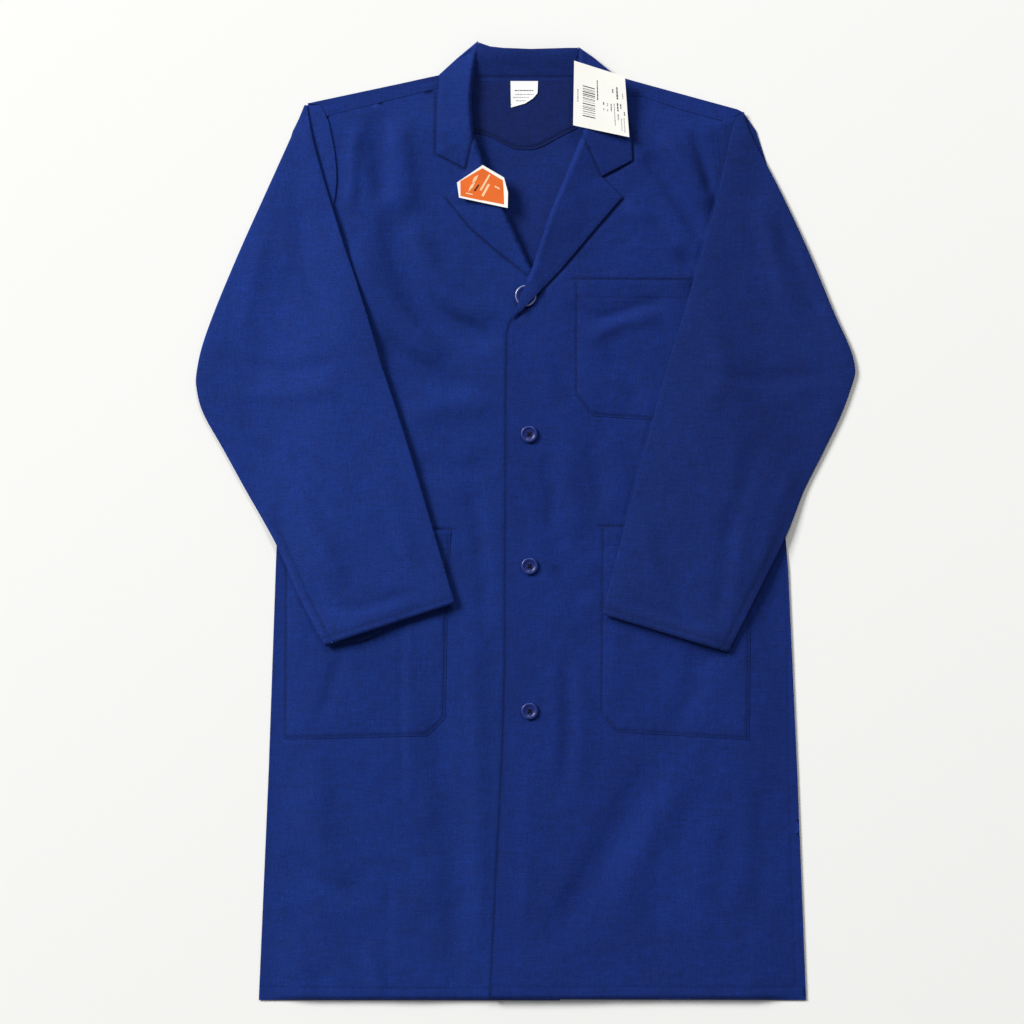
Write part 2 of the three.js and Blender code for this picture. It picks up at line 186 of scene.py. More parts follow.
FOLDS_R = [  # right front (under): line, height, width
    ([(-161.3, 452.4), (-159.1, 406.6), (-153.7, 346.6)], -2.6, 11), ([(-138.4, 448), (-134.1, 395.7), (-127.5, 335.7)], 2.0, 12), ([(-184.2, 439.3), (-188.6, 395.7), (-190.8, 335.7)], 1.4, 8),
    ([(-153.7, 346.6), (-136.2, 284.5), (-105.7, 230), (-60, 206), (-21.8, 197.3)], -3.0, 13), ([(-127.5, 335.7), (-103.6, 275.8), (-68.7, 237.6), (-27.3, 223.5)], 2.2, 14),
    ([(-190.8, 313.9), (-166.8, 259.4), (-125.4, 204.9), (-81.8, 175.5)], 2.4, 15), ([(-166.8, 210.4), (-114.5, 164.6), (-49.1, 142.8)], -1.5, 14), ([(-136.2, 112.3), (-81.8, 128.6), (-27.3, 123.2)], 1.6, 16),
    ([(-131.9, 68.7), (-70.9, 57.8), (-24, 74.1)], -1.2, 14), ([(-134.1, -90.5), (-135.2, -192.9), (-134.1, -340.1)], -0.5, 4.5), ([(-124.3, -83.9), (-125.4, -192.9), (-124.3, -334.6)], 0.4, 7),
    ([(-147.2, -356.4), (-148.2, -443.6), (-148.2, -519.9)], -0.4, 3.5), ([(-196.2, -127.5), (-212.6, -182), (-232.2, -231.1)], -1.2, 10), ([(-103.6, -127.5), (-92.7, -258.3), (-76.3, -389.1), (-70.9, -509)], -1.7, 17),
    ([(-245.3, -280.1), (-212.6, -367.3), (-196.2, -454.5)], 1.6, 22), ([(-272.5, -356.4), (-223.5, -389.1), (-166.8, -416.4)], -1.9, 15), ([(-261.6, -416.4), (-234.4, -465.4), (-212.6, -517.8)], -1.6, 14),
    ([(-60, -83.9), (-51.2, -258.3), (-49.1, -476.3)], 1.3, 12), ([(-60, 57.8), (-46.9, -40.3), (-42.5, -127.5)], -1.2, 10), ([(-174.4, -454.5), (-163.5, -487.2), (-158.1, -519.9)], 1.4, 9),
]
FOLDS_L = [  # left front (over)
    ([(127.5, 406.6), (160.2, 368.4), (197.3, 305.2)], -3.0, 9), ([(147.2, 428.4), (179.9, 384.8), (203.8, 335.7)], 2.4, 9), ([(103.6, 352.1), (136.2, 324.8), (179.9, 284.5)], 1.8, 10),
    ([(179.9, 430.6), (196.2, 395.7), (203.8, 357.5)], -2.0, 6), ([(125.4, 335.7), (152.6, 313.9), (190.8, 270.3)], -1.5, 8), ([(38.2, 243.1), (81.8, 223.5), (125.4, 236.5), (164.6, 243.1)], -1.1, 8),
    ([(65.4, 194), (103.6, 219.1), (152.6, 223.5)], 1.1, 10), ([(81.8, 186.4), (109, 161.3), (125.4, 123.2)], -1.2, 10), ([(5.5, 210.4), (21.8, 172.2), (29.4, 134.1)], 1.0, 10),
    ([(32.7, -40.3), (43.6, -62.1), (70.9, -86.1)], -2.0, 8), ([(38.2, -18.5), (60, -40.3), (81.8, -56.7)], 1.4, 8), ([(43.6, -127.5), (48, -209.3), (40.3, -301.9)], -1.1, 10),
    ([(56.7, -138.4), (62.1, -214.7), (57.8, -301.9)], 0.7, 10), ([(30.5, -138.4), (33.8, -214.7), (27.3, -291)], 0.5, 9), ([(141.7, -252.9), (101.4, -334.6), (65.4, -394.6), (25.1, -470.9)], -2.8, 19),
    ([(179.9, -258.3), (141.7, -334.6), (114.5, -400), (92.7, -476.3)], 1.7, 20), ([(147.2, -83.9), (146.1, -258.3), (145, -519.9)], -0.35, 3.5), ([(190.8, -127.5), (179.9, -192.9), (147.2, -236.5)], -1.3, 14),
    ([(38.2, 90.5), (54.5, 25.1), (49.1, -24)], 1.2, 12), ([(21.8, 79.6), (29.4, 25.1), (27.3, -18.5)], -1.2, 9), ([(-5.5, -258.3), (0, -356.4), (-5.5, -465.4)], 1.2, 12),
    ([(256.2, -258.3), (261.6, -356.4), (239.8, -476.3)], -1.5, 18), ([(212.6, -301.9), (190.8, -389.1), (196.2, -476.3)], 1.2, 18), ([(81.8, 101.4), (103.6, 57.8), (94.8, 8.7)], 1.1, 14),
    ([(65.4, 101.4), (81.8, 46.9), (77.4, 3.3)], -1.0, 10),
]


def folds(P, table):
    z = np.zeros(len(P))
    for k, (line, amp, width) in enumerate(table):
        z += crease(P, line, amp * (1.9 if k < 7 and table is not None and len(table) > 12 else 1.0), width)
    return z


def ripple(P, seed, amp=0.45):
    x, y = P[:, 0], P[:, 1]
    return amp * (noise(x, y, 46, seed) + 0.6 * noise(x, y * 0.6, 21, seed + 1) + 0.25 * noise(x, y, 9, seed + 2))


def fold_clip(f, s):
    """folds stay above the back panel and below the sleeves"""
    deep = np.maximum(0.3, 5.0 * s - 0.3)
    return np.where(f < 0, -deep * np.tanh(-f / deep), 5.0 * np.tanh(f / 5.0))


def under_z(P):
    """top surface of the under front"""
    d = din(P)
    s = ss(d / 62.0)
    w = ss(d / 26.0)
    return 1.6 + 6.0 * s + fold_clip(ss((d - 3) / 26.0) * (1.75 * folds(P, FOLDS_R) + 2.0 * ripple(P, 11)) * 0.9, s)


def over_z(P):
    """top surface of the over front"""
    d = din(P)
    s = ss(d / 62.0)
    w = ss(d / 26.0)
    lap = 1 - 0.65 * ss((P[:, 0] - 38.0) / 60.0)
    z = 1.6 + 6.0 * s + 2.4 * lap * s + fold_clip(ss((d - 3) / 26.0) * (1.75 * folds(P, FOLDS_L) + 2.0 * ripple(P, 21)) * 0.9, s)
    # nothing pokes up through the lap: the folds flatten along the front edge
    e, _ = seg_dist(P, EDGE_L)
    flat = ss((e - 10) / 30.0)
    return z * flat + (1 - flat) * (1.5 + 6.0 * s + 2.4 * lap * s + 0.35 * noise(P[:, 0], P[:, 1], 60, 33))


EDGE_L = np.array([(-13.1, 225.6), (-17.4, 208.2), (-18.5, 155.9), (-19.6, -150.4), (-21.8, -239.8), (-27.8, -354.2), (-36, -521)])


def under_lap(P):
    """the under front is held flat where the over front covers it"""
    z = under_z(P)
    cov = ss((P[:, 0] + 34.0) / 18.0) * ss(-(P[:, 1] - 262.0) / 30.0)
    flat = 7.3 + 0 * z
    return z * (1 - cov) + np.minimum(z, flat) * cov - 0.0


# ------------------------------------------------------------ mesh builder
MATS = {}


def build(name, poly, ztop, thick=0.6, sp=5.0, lines=(), soft=(), stitches=(), holes=(), mats=(), zbot=None, rim=0.0, shade=None, fine=None, smooth_poly=False):
    poly = np.asarray(poly, float)
    area2 = np.sum(poly[:, 0] * np.roll(poly[:, 1], -1) - np.roll(poly[:, 0], -1) * poly[:, 1])
    if area2 < 0:
        poly = poly[::-1]
    bnd = resample(poly, sp * 0.7, True)
    lo, hi = poly.min(0), poly.max(0)
    hgt = sp * math.sqrt(3) / 2
    ny = int((hi[1] - lo[1]) / hgt) + 2
    nx = int((hi[0] - lo[0]) / sp) + 2
    gx, gy = np.meshgrid(np.arange(nx), np.arange(ny))
    G = np.stack([lo[0] + (gx + 0.5 * (gy % 2)) * sp, lo[1] + gy * hgt], -1).reshape(-1, 2)
    G = G[inside(G, poly)]
    G = G[seg_dist(G, poly, True)[0] > sp * 0.55]
    extra = []
    # extra rows of points along each groove line
    rows = []
    for line in list(lines) + list(soft):
        l = resample(np.asarray(line, float), 4.0)
        t = np.gradient(l, axis=0)
        t /= np.maximum(np.hypot(t[:, 0], t[:, 1]), 1e-9)[:, None]
        nrm = np.stack([-t[:, 1], t[:, 0]], -1)
        for o in (-2.6, -1.1, 0, 1.1, 2.6):
            rows.append(l + nrm * o)
        G = G[seg_dist(G, l)[0] > 3.6]
    if rows:
        R = np.concatenate(rows)
        R = R[inside(R, poly)]
        R = R[seg_dist(R, poly, True)[0] > 1.7]
        extra.append(R)
    loops = []
    allp = [bnd]
    n0 = len(bnd)
    loops.append(list(range(n0)))
    for h in holes:
        h = np.asarray(h, float)
        loops.append(list(range(n0, n0 + len(h))))
        n0 += len(h)
        allp.append(h)
        G = G[~inside(G, h)]
        G = G[seg_dist(G, h, True)[0] > sp * 0.4]
    if fine is not None:
        allp.append(fine)
    pts = np.concatenate(allp + [G] + extra)
    edges = [(l[i], l[(i + 1) % len(l)]) for l in loops for i in range(len(l))]
    vs, _, fs, _, _, _ = delaunay_2d_cdt([Vector(p) for p in pts], edges, [], 0, 1e-4)
    V = np.array([tuple(v) for v in vs])
    F = np.array([f for f in fs if len(f) == 3], int)
    C = V[F].mean(1)
    keep = inside(C, poly)
    for h in holes:
        keep &= ~inside(C, np.asarray(h, float))
    F = F[keep]
    a = V[F[:, 1]] - V[F[:, 0]]
    b = V[F[:, 2]] - V[F[:, 0]]
    cr = a[:, 0] * b[:, 1] - a[:, 1] * b[:, 0]
    F[cr < 0] = F[cr < 0][:, ::-1]
    F = F[np.abs(cr) > 1e-7]
    # flat slivers on the outline would spoil the shading
    for _ in range(2):
        cnt = {}
        for tri in F.tolist():
            for i in range(3):
                k = (min(tri[i], tri[(i + 1) % 3]), max(tri[i], tri[(i + 1) % 3]))
                cnt[k] = cnt.get(k, 0) + 1
        ok = []
        for tri in F.tolist():
            e = [(np.hypot(*(V[tri[i]] - V[tri[(i + 1) % 3]])), i) for i in range(3)]
            ln, i = max(e)
            p, q, r = V[tri[0]], V[tri[1]], V[tri[2]]
            ar = abs((q[0] - p[0]) * (r[1] - p[1]) - (q[1] - p[1]) * (r[0] - p[0]))
            k = (min(tri[i], tri[(i + 1) % 3]), max(tri[i], tri[(i + 1) % 3]))
            ok.append(not (ar / ln < 0.4 and cnt[k] == 1))
        F = F[np.array(ok)]
    used = np.unique(F)
    remap = -np.ones(len(V), int)
    remap[used] = np.arange(len(used))
    V, F = V[used], remap[F]
    zt = ztop(V)
    sh = np.ones(len(V)) if shade is None else shade(V)
    # each seam line dips into a groove, and the shade multiplier darkens the colour along it: painted shade
    for line in lines:
        d, t = seg_dist(V, line)
        g = np.exp(-(d / 1.3) ** 2)
        pucker = 0.5 + 0.5 * noise(V[:, 0] * 1.0, V[:, 1], 7, 5)
        zt = zt - g * 0.55 + 0.22 * np.exp(-((d - 3.2) / 1.8) ** 2) * (0.6 + 0.8 * pucker)
        sh = sh * (1 - 0.42 * g)
    # soft lines: a shallower groove with a lighter painted shade along it
    for line in soft:
        d, t = seg_dist(V, line)
        g = np.exp(-(d / 1.3) ** 2)
        pucker = 0.5 + 0.5 * noise(V[:, 0] * 1.0, V[:, 1], 7, 5)
        zt = zt - g * 0.2 + 0.12 * np.exp(-((d - 3.2) / 1.8) ** 2) * (0.5 + 0.9 * pucker)
        sh = sh * (1 - 0.08 * g)
    be, cnt = {}, {}
    for tri in F:
        for i in range(3):
            e = (int(tri[i]), int(tri[(i + 1) % 3]))
            k = (min(e), max(e))
            cnt[k] = cnt.get(k, 0) + 1
            be[k] = e
    bedges = [be[k] for k, c in cnt.items() if c == 1]
    zb = zt - thick if zbot is None else zbot(V)
    if rim:
        d = seg_dist(V, poly, True)[0]
        zt = zt - rim * np.exp(-(d / 1.2) ** 2)
    n = len(V)
    top = np.column_stack([V, zt])
    bot = np.column_stack([V, zb])
    verts = np.concatenate([top, bot])
    faces = [tuple(f) for f in F.tolist()] + [tuple(f) for f in (F[:, ::-1] + n).tolist()]
    faces += [(a + 0, a + n, b + n, b) for a, b in bedges]
    nf = len(faces)
    # the underside takes a slightly darker colour: painted shade
    shade_v = np.concatenate([sh, sh * 0.92])
    mi = [0] * nf
    sharp = [(a, b) for a, b in bedges] + [(a + n, b + n) for a, b in bedges]
    if stitches:
        sv, sf = stitch_mesh(stitches, ztop)
        base = len(verts)
        verts = np.concatenate([verts, sv])
        faces += [tuple(int(i) + base for i in f) for f in sf]
        mi += [1] * len(sf)
        shade_v = np.concatenate([shade_v, np.ones(len(sv))])
    return mesh_object(name, verts, faces, mats, mi, shade_v, sharp)


def mesh_object(name, verts_mm, faces, mats, mi=None, shade_v=None, sharp=()):
    me = bpy.data.meshes.new(name)
    me.from_pydata([tuple(v) for v in world(verts_mm).tolist()], [], faces)
    for m in mats:
        me.materials.append(MATS[m])
    if mi is not None:
        me.polygons.foreach_set("material_index", np.array(mi, np.int32))
    me.polygons.foreach_set("use_smooth", np.ones(len(faces), bool))
    if shade_v is not None:
        at = me.attributes.new("shade", "FLOAT", "POINT")
        at.data.foreach_set("value", np.asarray(shade_v, np.float32))
    if len(sharp):
        key = {}
        ev = np.zeros(len(me.edges) * 2, np.int32)
        me.edges.foreach_get("vertices", ev)
        ev = ev.reshape(-1, 2)
        want = set((min(a, b), max(a, b)) for a, b in sharp)
        flag = np.array([(min(a, b), max(a, b)) in want for a, b in ev.tolist()], bool)
        sa = me.attributes.new("sharp_edge", "BOOLEAN", "EDGE")
        sa.data.foreach_set("value", flag)
    me.update()
    o = bpy.data.objects.new(name, me)
    bpy.context.scene.collection.objects.link(o)
    return o


def stitch_mesh(lines, ztop, length=2.3, pitch=3.3, r=0.24):
    vs, fs = [], []
    n = 0
    for line in lines:
        L = np.asarray(line, float)
        seg = np.hypot(*np.diff(L, axis=0).T)
        acc = np.concatenate([[0], np.cumsum(seg)])
        k = int(acc[-1] / pitch)
        if k < 1:
            continue
        s0 = (np.arange(k) + 0.15) * pitch
        for off in (0.0,):
            a = np.column_stack([np.interp(s0, acc, L[:, 0]), np.interp(s0, acc, L[:, 1])])
            b = np.column_stack([np.interp(s0 + length, acc, L[:, 0]), np.interp(s0 + length, acc, L[:, 1])])
            t = b - a
            t /= np.maximum(np.hypot(t[:, 0], t[:, 1]), 1e-9)[:, None]
            nn = np.stack([-t[:, 1], t[:, 0]], -1) * r
            za, zb, zm = ztop(a) - 0.5, ztop(b) - 0.5, ztop((a + b) / 2) - 0.5
            m = (a + b) / 2
            # a low hexagonal bar: ends sink into the cloth, the middle stands proud
            for i in range(k):
                q = [(a[i] + nn[i] * 0.5, za[i] - 0.25), (a[i] - nn[i] * 0.5, za[i] - 0.25), (a[i], za[i] + 0.12),
                     (m[i] + nn[i], zm[i] - 0.1), (m[i] - nn[i], zm[i] - 0.1), (m[i], zm[i] + 0.36),
                     (b[i] + nn[i] * 0.5, zb[i] - 0.25), (b[i] - nn[i] * 0.5, zb[i] - 0.25), (b[i], zb[i] + 0.12)]
                vs += [(p[0], p[1], z) for p, z in q]
                fs += [(n, n + 1, n + 2), (n + 6, n + 8, n + 7),
                       (n, n + 2, n + 5, n + 3), (n + 2, n + 1, n + 4, n + 5), (n + 1, n, n + 3, n + 4),
                       (n + 3, n + 5, n + 8, n + 6), (n + 5, n + 4, n + 7, n + 8), (n + 4, n + 3, n + 6, n + 7)]
                n += 9
    return np.array(vs), fs


# ------------------------------------------------------------ materials
def srgb(c):
    return tuple(((v / 255) / 12.92 if v / 255 <= 0.04045 else ((v / 255 + 0.055) / 1.055) ** 2.4) for v in c)


def cloth_mat(name, rgb, rough=0.88, sheen=0.035, weave=1.0, var=0.10, tint=None):
    m = bpy.data.materials.new(name)
    m.use_nodes = True
    nt = m.node_tree
    nd, ln = nt.nodes, nt.links
    bsdf = nd["Principled BSDF"]
    bsdf.inputs["Roughness"].default_value = rough
    bsdf.inputs["Sheen Weight"].default_value = sheen
    bsdf.inputs["Sheen Roughness"].default_value = 0.45
    bsdf.inputs["Sheen Tint"].default_value = (0.55, 0.65, 1.0, 1)
    bsdf.inputs["Specular IOR Level"].default_value = 0.18
    tc = nd.new("ShaderNodeTexCoord")
    # broad shade variation of the dyed cloth, then the fine heather of the yarn
    n1 = nd.new("ShaderNodeTexNoise"); n1.inputs["Scale"].default_value = 7.0; n1.inputs["Detail"].default_value = 5.0
    n2 = nd.new("ShaderNodeTexNoise"); n2.inputs["Scale"].default_value = 520.0; n2.inputs["Detail"].default_value = 3.0
    n3 = nd.new("ShaderNodeTexNoise"); n3.inputs["Scale"].default_value = 60.0; n3.inputs["Detail"].default_value = 4.0
    for n in (n1, n2, n3):
        ln.new(tc.outputs["Object"], n.inputs["Vector"])
    c = srgb(rgb)
    ramp = nd.new("ShaderNodeMix"); ramp.data_type = "RGBA"
    ramp.inputs["A"].default_value = (*[v * (1 - var * 1.6) for v in c], 1)
    ramp.inputs["B"].default_value = (*[min(1, v * (1 + var * 1.6)) for v in (tint and srgb(tint) or c)], 1)
    ln.new(n1.outputs["Fac"], ramp.inputs["Factor"])
    heat = nd.new("ShaderNodeMapRange")
    heat.inputs["From Min"].default_value = 0.3; heat.inputs["From Max"].default_value = 0.7
    heat.inputs["To Min"].default_value = 0.80; heat.inputs["To Max"].default_value = 1.20
    ln.new(n2.outputs["Fac"], heat.inputs["Value"])
    heat3 = nd.new("ShaderNodeMapRange")
    heat3.inputs["From Min"].default_value = 0.3; heat3.inputs["From Max"].default_value = 0.7
    heat3.inputs["To Min"].default_value = 0.93; heat3.inputs["To Max"].default_value = 1.07
    ln.new(n3.outputs["Fac"], heat3.inputs["Value"])
    slub = []
    for sc in ((620.0, 70.0, 70.0), (60.0, 560.0, 70.0)):
        mq = nd.new("ShaderNodeMapping"); mq.inputs["Scale"].default_value = sc
        nq = nd.new("ShaderNodeTexNoise"); nq.inputs["Scale"].default_value = 1.0; nq.inputs["Detail"].default_value = 2.0
        rq = nd.new("ShaderNodeMapRange")
        rq.inputs["From Min"].default_value = 0.3; rq.inputs["From Max"].default_value = 0.7
        rq.inputs["To Min"].default_value = 0.91; rq.inputs["To Max"].default_value = 1.09
        ln.new(tc.outputs["Object"], mq.inputs["Vector"]); ln.new(mq.outputs["Vector"], nq.inputs["Vector"]); ln.new(nq.outputs["Fac"], rq.inputs["Value"])
        slub.append(rq)
    ms = nd.new("ShaderNodeMath"); ms.operation = "MULTIPLY"
    ln.new(slub[0].outputs["Result"], ms.inputs[0]); ln.new(slub[1].outputs["Result"], ms.inputs[1])
    mh = nd.new("ShaderNodeMath"); mh.operation = "MULTIPLY"
    ln.new(heat3.outputs["Result"], mh.inputs[0]); ln.new(ms.outputs[0], mh.inputs[1])
    # the per-vertex shade attribute scales the base colour down: painted shade along seams and grooves, on undersides
    # and inside the sleeves
    at = nd.new("ShaderNodeAttribute"); at.attribute_name = "shade"
    mul = nd.new("ShaderNodeMath"); mul.operation = "MULTIPLY"
    ln.new(heat.outputs["Result"], mul.inputs[0]); ln.new(mh.outputs[0], mul.inputs[1])
    mul2 = nd.new("ShaderNodeMath"); mul2.operation = "MULTIPLY"
    ln.new(mul.outputs[0], mul2.inputs[0]); ln.new(at.outputs["Fac"], mul2.inputs[1])
    vm = nd.new("ShaderNodeVectorMath"); vm.operation = "SCALE"
    ln.new(ramp.outputs["Result"], vm.inputs[0]); ln.new(mul2.outputs[0], vm.inputs["Scale"])
    ln.new(vm.outputs["Vector"], bsdf.inputs["Base Color"])
    # twill: diagonal ribs crossed by the filling yarns
    mp = nd.new("ShaderNodeMapping"); mp.inputs["Rotation"].default_value = (0, 0, math.radians(58))
    ln.new(tc.outputs["Object"], mp.inputs["Vector"])
    w1 = nd.new("ShaderNodeTexWave"); w1.inputs["Scale"].default_value = 330.0; w1.inputs["Distortion"].default_value = 0.6
    w1.inputs["Detail"].default_value = 1.0
    ln.new(mp.outputs["Vector"], w1.inputs["Vector"])
    w2 = nd.new("ShaderNodeTexWave"); w2.inputs["Scale"].default_value = 480.0; w2.bands_direction = "Y"
    ln.new(tc.outputs["Object"], w2.inputs["Vector"])
    mx = nd.new("ShaderNodeMath"); mx.operation = "MULTIPLY_ADD"
    mx.inputs[1].default_value = 0.6
    ln.new(w1.outputs["Fac"], mx.inputs[0]); ln.new(w2.outputs["Fac"], mx.inputs[2])
    ad = nd.new("ShaderNodeMath"); ad.operation = "ADD"
    ln.new(mx.outputs[0], ad.inputs[0]); ln.new(n2.outputs["Fac"], ad.inputs[1])
    bp = nd.new("ShaderNodeBump"); bp.inputs["Strength"].default_value = 0.30 * weave; bp.inputs["Distance"].default_value = 0.00022
    ln.new(ad.outputs[0], bp.inputs["Height"])
    bp2 = nd.new("ShaderNodeBump"); bp2.inputs["Strength"].default_value = 0.35; bp2.inputs["Distance"].default_value = 0.0012
    n4 = nd.new("ShaderNodeTexNoise"); n4.inputs["Scale"].default_value = 95.0; n4.inputs["Detail"].default_value = 2.0
    ln.new(tc.outputs["Object"], n4.inputs["Vector"])
    ln.new(n4.outputs["Fac"], bp2.inputs["Height"])
    ln.new(bp2.outputs["Normal"], bp.inputs["Normal"])
    ln.new(bp.outputs["Normal"], bsdf.inputs["Normal"])
    rr = nd.new("ShaderNodeMapRange")
    rr.inputs["To Min"].default_value = rough - 0.08; rr.inputs["To Max"].default_value = min(1, rough + 0.08)
    ln.new(n3.outputs["Fac"], rr.inputs["Value"]); ln.new(rr.outputs["Result"], bsdf.inputs["Roughness"])
    MATS[name] = m
    return m


def card_mat(name, rgb, rough=0.55, spec=0.35, var=0.03, scale=40.0, coat=0.0):
    m = bpy.data.materials.new(name)
    m.use_nodes = True
    nt = m.node_tree
    nd, ln = nt.nodes, nt.links
    bsdf = nd["Principled BSDF"]
    bsdf.inputs["Specular IOR Level"].default_value = spec
    bsdf.inputs["Coat Weight"].default_value = coat
    tc = nd.new("ShaderNodeTexCoord")
    n1 = nd.new("ShaderNodeTexNoise"); n1.inputs["Scale"].default_value = scale; n1.inputs["Detail"].default_value = 3.0
    ln.new(tc.outputs["Object"], n1.inputs["Vector"])
    c = srgb(rgb)
    mx = nd.new("ShaderNodeMix"); mx.data_type = "RGBA"
    mx.inputs["A"].default_value = (*[v * (1 - var * 2) for v in c], 1)
    mx.inputs["B"].default_value = (*[min(1, v * (1 + var * 2)) for v in c], 1)
    ln.new(n1.outputs["Fac"], mx.inputs["Factor"]); ln.new(mx.outputs["Result"], bsdf.inputs["Base Color"])
    n2 = nd.new("ShaderNodeTexNoise"); n2.inputs["Scale"].default_value = 1500.0
    ln.new(tc.outputs["Object"], n2.inputs["Vector"])
    bp = nd.new("ShaderNodeBump"); bp.inputs["Strength"].default_value = 0.12; bp.inputs["Distance"].default_value = 0.0001
    ln.new(n2.outputs["Fac"], bp.inputs["Height"]); ln.new(bp.outputs["Normal"], bsdf.inputs["Normal"])
    rr = nd.new("ShaderNodeMapRange")
    rr.inputs["To Min"].default_value = max(0.05, rough - 0.06); rr.inputs["To Max"].default_value = min(1, rough + 0.06)
    ln.new(n1.outputs["Fac"], rr.inputs["Value"]); ln.new(rr.outputs["Result"], bsdf.inputs["Roughness"])
    MATS[name] = m
    return m


NAVY = (15, 42, 112)
cloth_mat("coat", NAVY)
# the left front cloth and the inside cloth are the same navy as coat, painted a little darker: painted shade
cloth_mat("coat_right_painted_shade", (14, 39, 108))
cloth_mat("inside", (15, 38, 104), sheen=0.03)
cloth_mat("neck_tape", (12, 31, 88))
# the sleeves are the same navy cloth: the right sleeve is painted lighter (painted light), the left sleeve darker
# (painted shade)
cloth_mat("sleeve_r_painted_light", (18, 45, 117))
cloth_mat("sleeve_l_painted_shade", (14, 37, 101))
cloth_mat("seam_thread", (24, 48, 120), rough=0.7, weave=0.3)
cloth_mat("button_thread", (44, 68, 140), rough=0.7, weave=0.3)
card_mat("button", (17, 35, 102), rough=0.42, spec=0.4, coat=0.08)
# the rim materials are lighter than the button: a painted highlight on the rim, brightest on the top button
card_mat("button_rim", (27, 49, 122), rough=0.36, spec=0.5, coat=0.15)
card_mat("button_silver", (128, 138, 176), rough=0.25, spec=0.8, coat=0.4)
card_mat("white_card", (247, 246, 238), rough=0.5)
card_mat("label_cloth", (246, 246, 246), rough=0.75)
card_mat("ink", (62, 60, 60), rough=0.6)
card_mat("ink_soft", (158, 155, 152), rough=0.6)
card_mat("orange", (232, 108, 40), rough=0.4, var=0.10)
card_mat("cream", (250, 206, 160), rough=0.45)
card_mat("ink_dark", (70, 40, 18), rough=0.5)
card_mat("nylon", (215, 215, 212), rough=0.35)

# ------------------------------------------------------------ the torso
def back_z(P):
    d = din(P)
    neck = ss((P[:, 1] - 400) / 25.0) * ss((130 - np.abs(P[:, 0] + 3)) / 25.0)
    w = ss(d / 30.0)
    return 0.9 + 1.3 * neck + w * 0.8 * np.clip(ripple(P, 51, 0.6) + 0.35, 0, 2) * (1 - neck)


back = build("back_panel_cloth", BACK, back_z, 0.65, 6.5, mats=["inside"], zbot=lambda P: back_z(P) - 0.65)
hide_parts("back_panel")
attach(back, "torso")

nf_edge = smooth_line(np.array([(-55.6, 427.3), (-44.7, 424.6), (-33.8, 420.2), (-22.9, 414.2), (-12, 409.8), (0, 408.2), (13.1, 409.8), (26.2, 415.8), (39.2, 422.9), (56.7, 431.6)]), 2.5)
NECK_FACING = np.concatenate([np.array([(60, 484), (-57.8, 484), (-56.7, 450.2)]), nf_edge, np.array([(58.9, 461.1)])])


def facing_z(P):
    return back_z(P) + 0.85 + 0.08 * ripple(P, 53)


hem_nf = nf_edge + np.array([0, 2.6])
neckf = build("back_neck_facing_cloth", NECK_FACING, facing_z, 0.6, 3.0, lines=[hem_nf], stitches=[hem_nf], mats=["neck_tape", "seam_thread"])
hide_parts("back_neck_facing")
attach(neckf, "torso")

R_FRONT = np.array([(-214.7, 445.3), (-97, 474.7), (-68.7, 480.7), (-60, 461.1), (-56.7, 424), (-44.7, 392.4), (-19.6, 335.7), (6.5, 278), (21.8, 243.1), (33.8, 210.4), (38.2, 155.9), (38.2, -522.1), (-291, -521.6), (-280.1, -269.2), (-272.5, -51.2), (-263.8, 194), (-245.3, 232.2), (-228.9, 286.7), (-216.9, 319.4), (-210.4, 343.4), (-207.5, 358.6), (-206, 373.9), (-206.4, 389.1), (-208.4, 406.6), (-211.5, 424), (-214.7, 438.2)])
r_hem = np.array([(-289.9, -507.4), (37.1, -508.5)])
c_mouth = np.array([(52.9, 266.2), (185.3, 265.6)])
l_mouth = np.array([(82.1, -3.5), (248.5, -3.1)])
r_mouth = np.array([(-263.8, 0.2), (-80, -7.1)])
lap_dip = np.array([(-14.2, 222.4), (-19.4, 207.1), (-20.5, 155.9), (-21.6, -150.4), (-23.8, -239.8), (-29.6, -354.2), (-37.7, -518.8)])
r_lapel_dip = np.array([(-86.1, 353.8), (-59.6, 321.1), (-29.1, 294.8), (2.2, 269.8)])
r_wing_dip = np.array([(-97.4, 469.8), (-97.7, 402.2), (-65.4, 385.3)])
l_lapel_dip = np.array([(107.4, 354.2), (74.1, 315.8), (39.2, 274.4), (-9.8, 221.8)])
sleeve_dip = np.array([(212.6, 382.6), (202.2, 337.9), (189.1, 293.2), (168.4, 222.4), (153.1, 175.5), (144.4, 142.8), (125.9, 74.1), (97.6, -34.9), (81.2, -99.2)])
l_wing_dip = np.array([(107.5, 463.3), (117.3, 419.7), (118.2, 395.1), (85, 376.5)])
rf = build("right_front_cloth", R_FRONT, under_lap, 0.6, 4.2, lines=[lap_dip, r_lapel_dip, r_wing_dip, r_mouth], soft=[r_hem], stitches=[r_hem], mats=["coat", "seam_thread"])
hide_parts("right_front", "right_side_seam")
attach(rf, "torso")

R_FACING = np.array([(-81.8, 474.2), (-69.8, 478.5), (-61, 461.1), (-57.8, 424), (-45.8, 392.4), (-20.7, 335.7), (5.5, 278), (20.7, 243.1), (32.7, 210.4), (36, 155.9), (36, -506.9), (-27.3, -506.9), (-27.3, 112.3), (-49.1, 210.4), (-81.8, 319.4), (-92.7, 406.6), (-93.7, 469.8)])
rfac = build("right_front_facing_cloth", R_FACING, lambda P: under_lap(P) - 1.1, 0.5, 9.0, mats=["inside"])
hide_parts("right_front_facing")
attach(rfac, "torso")

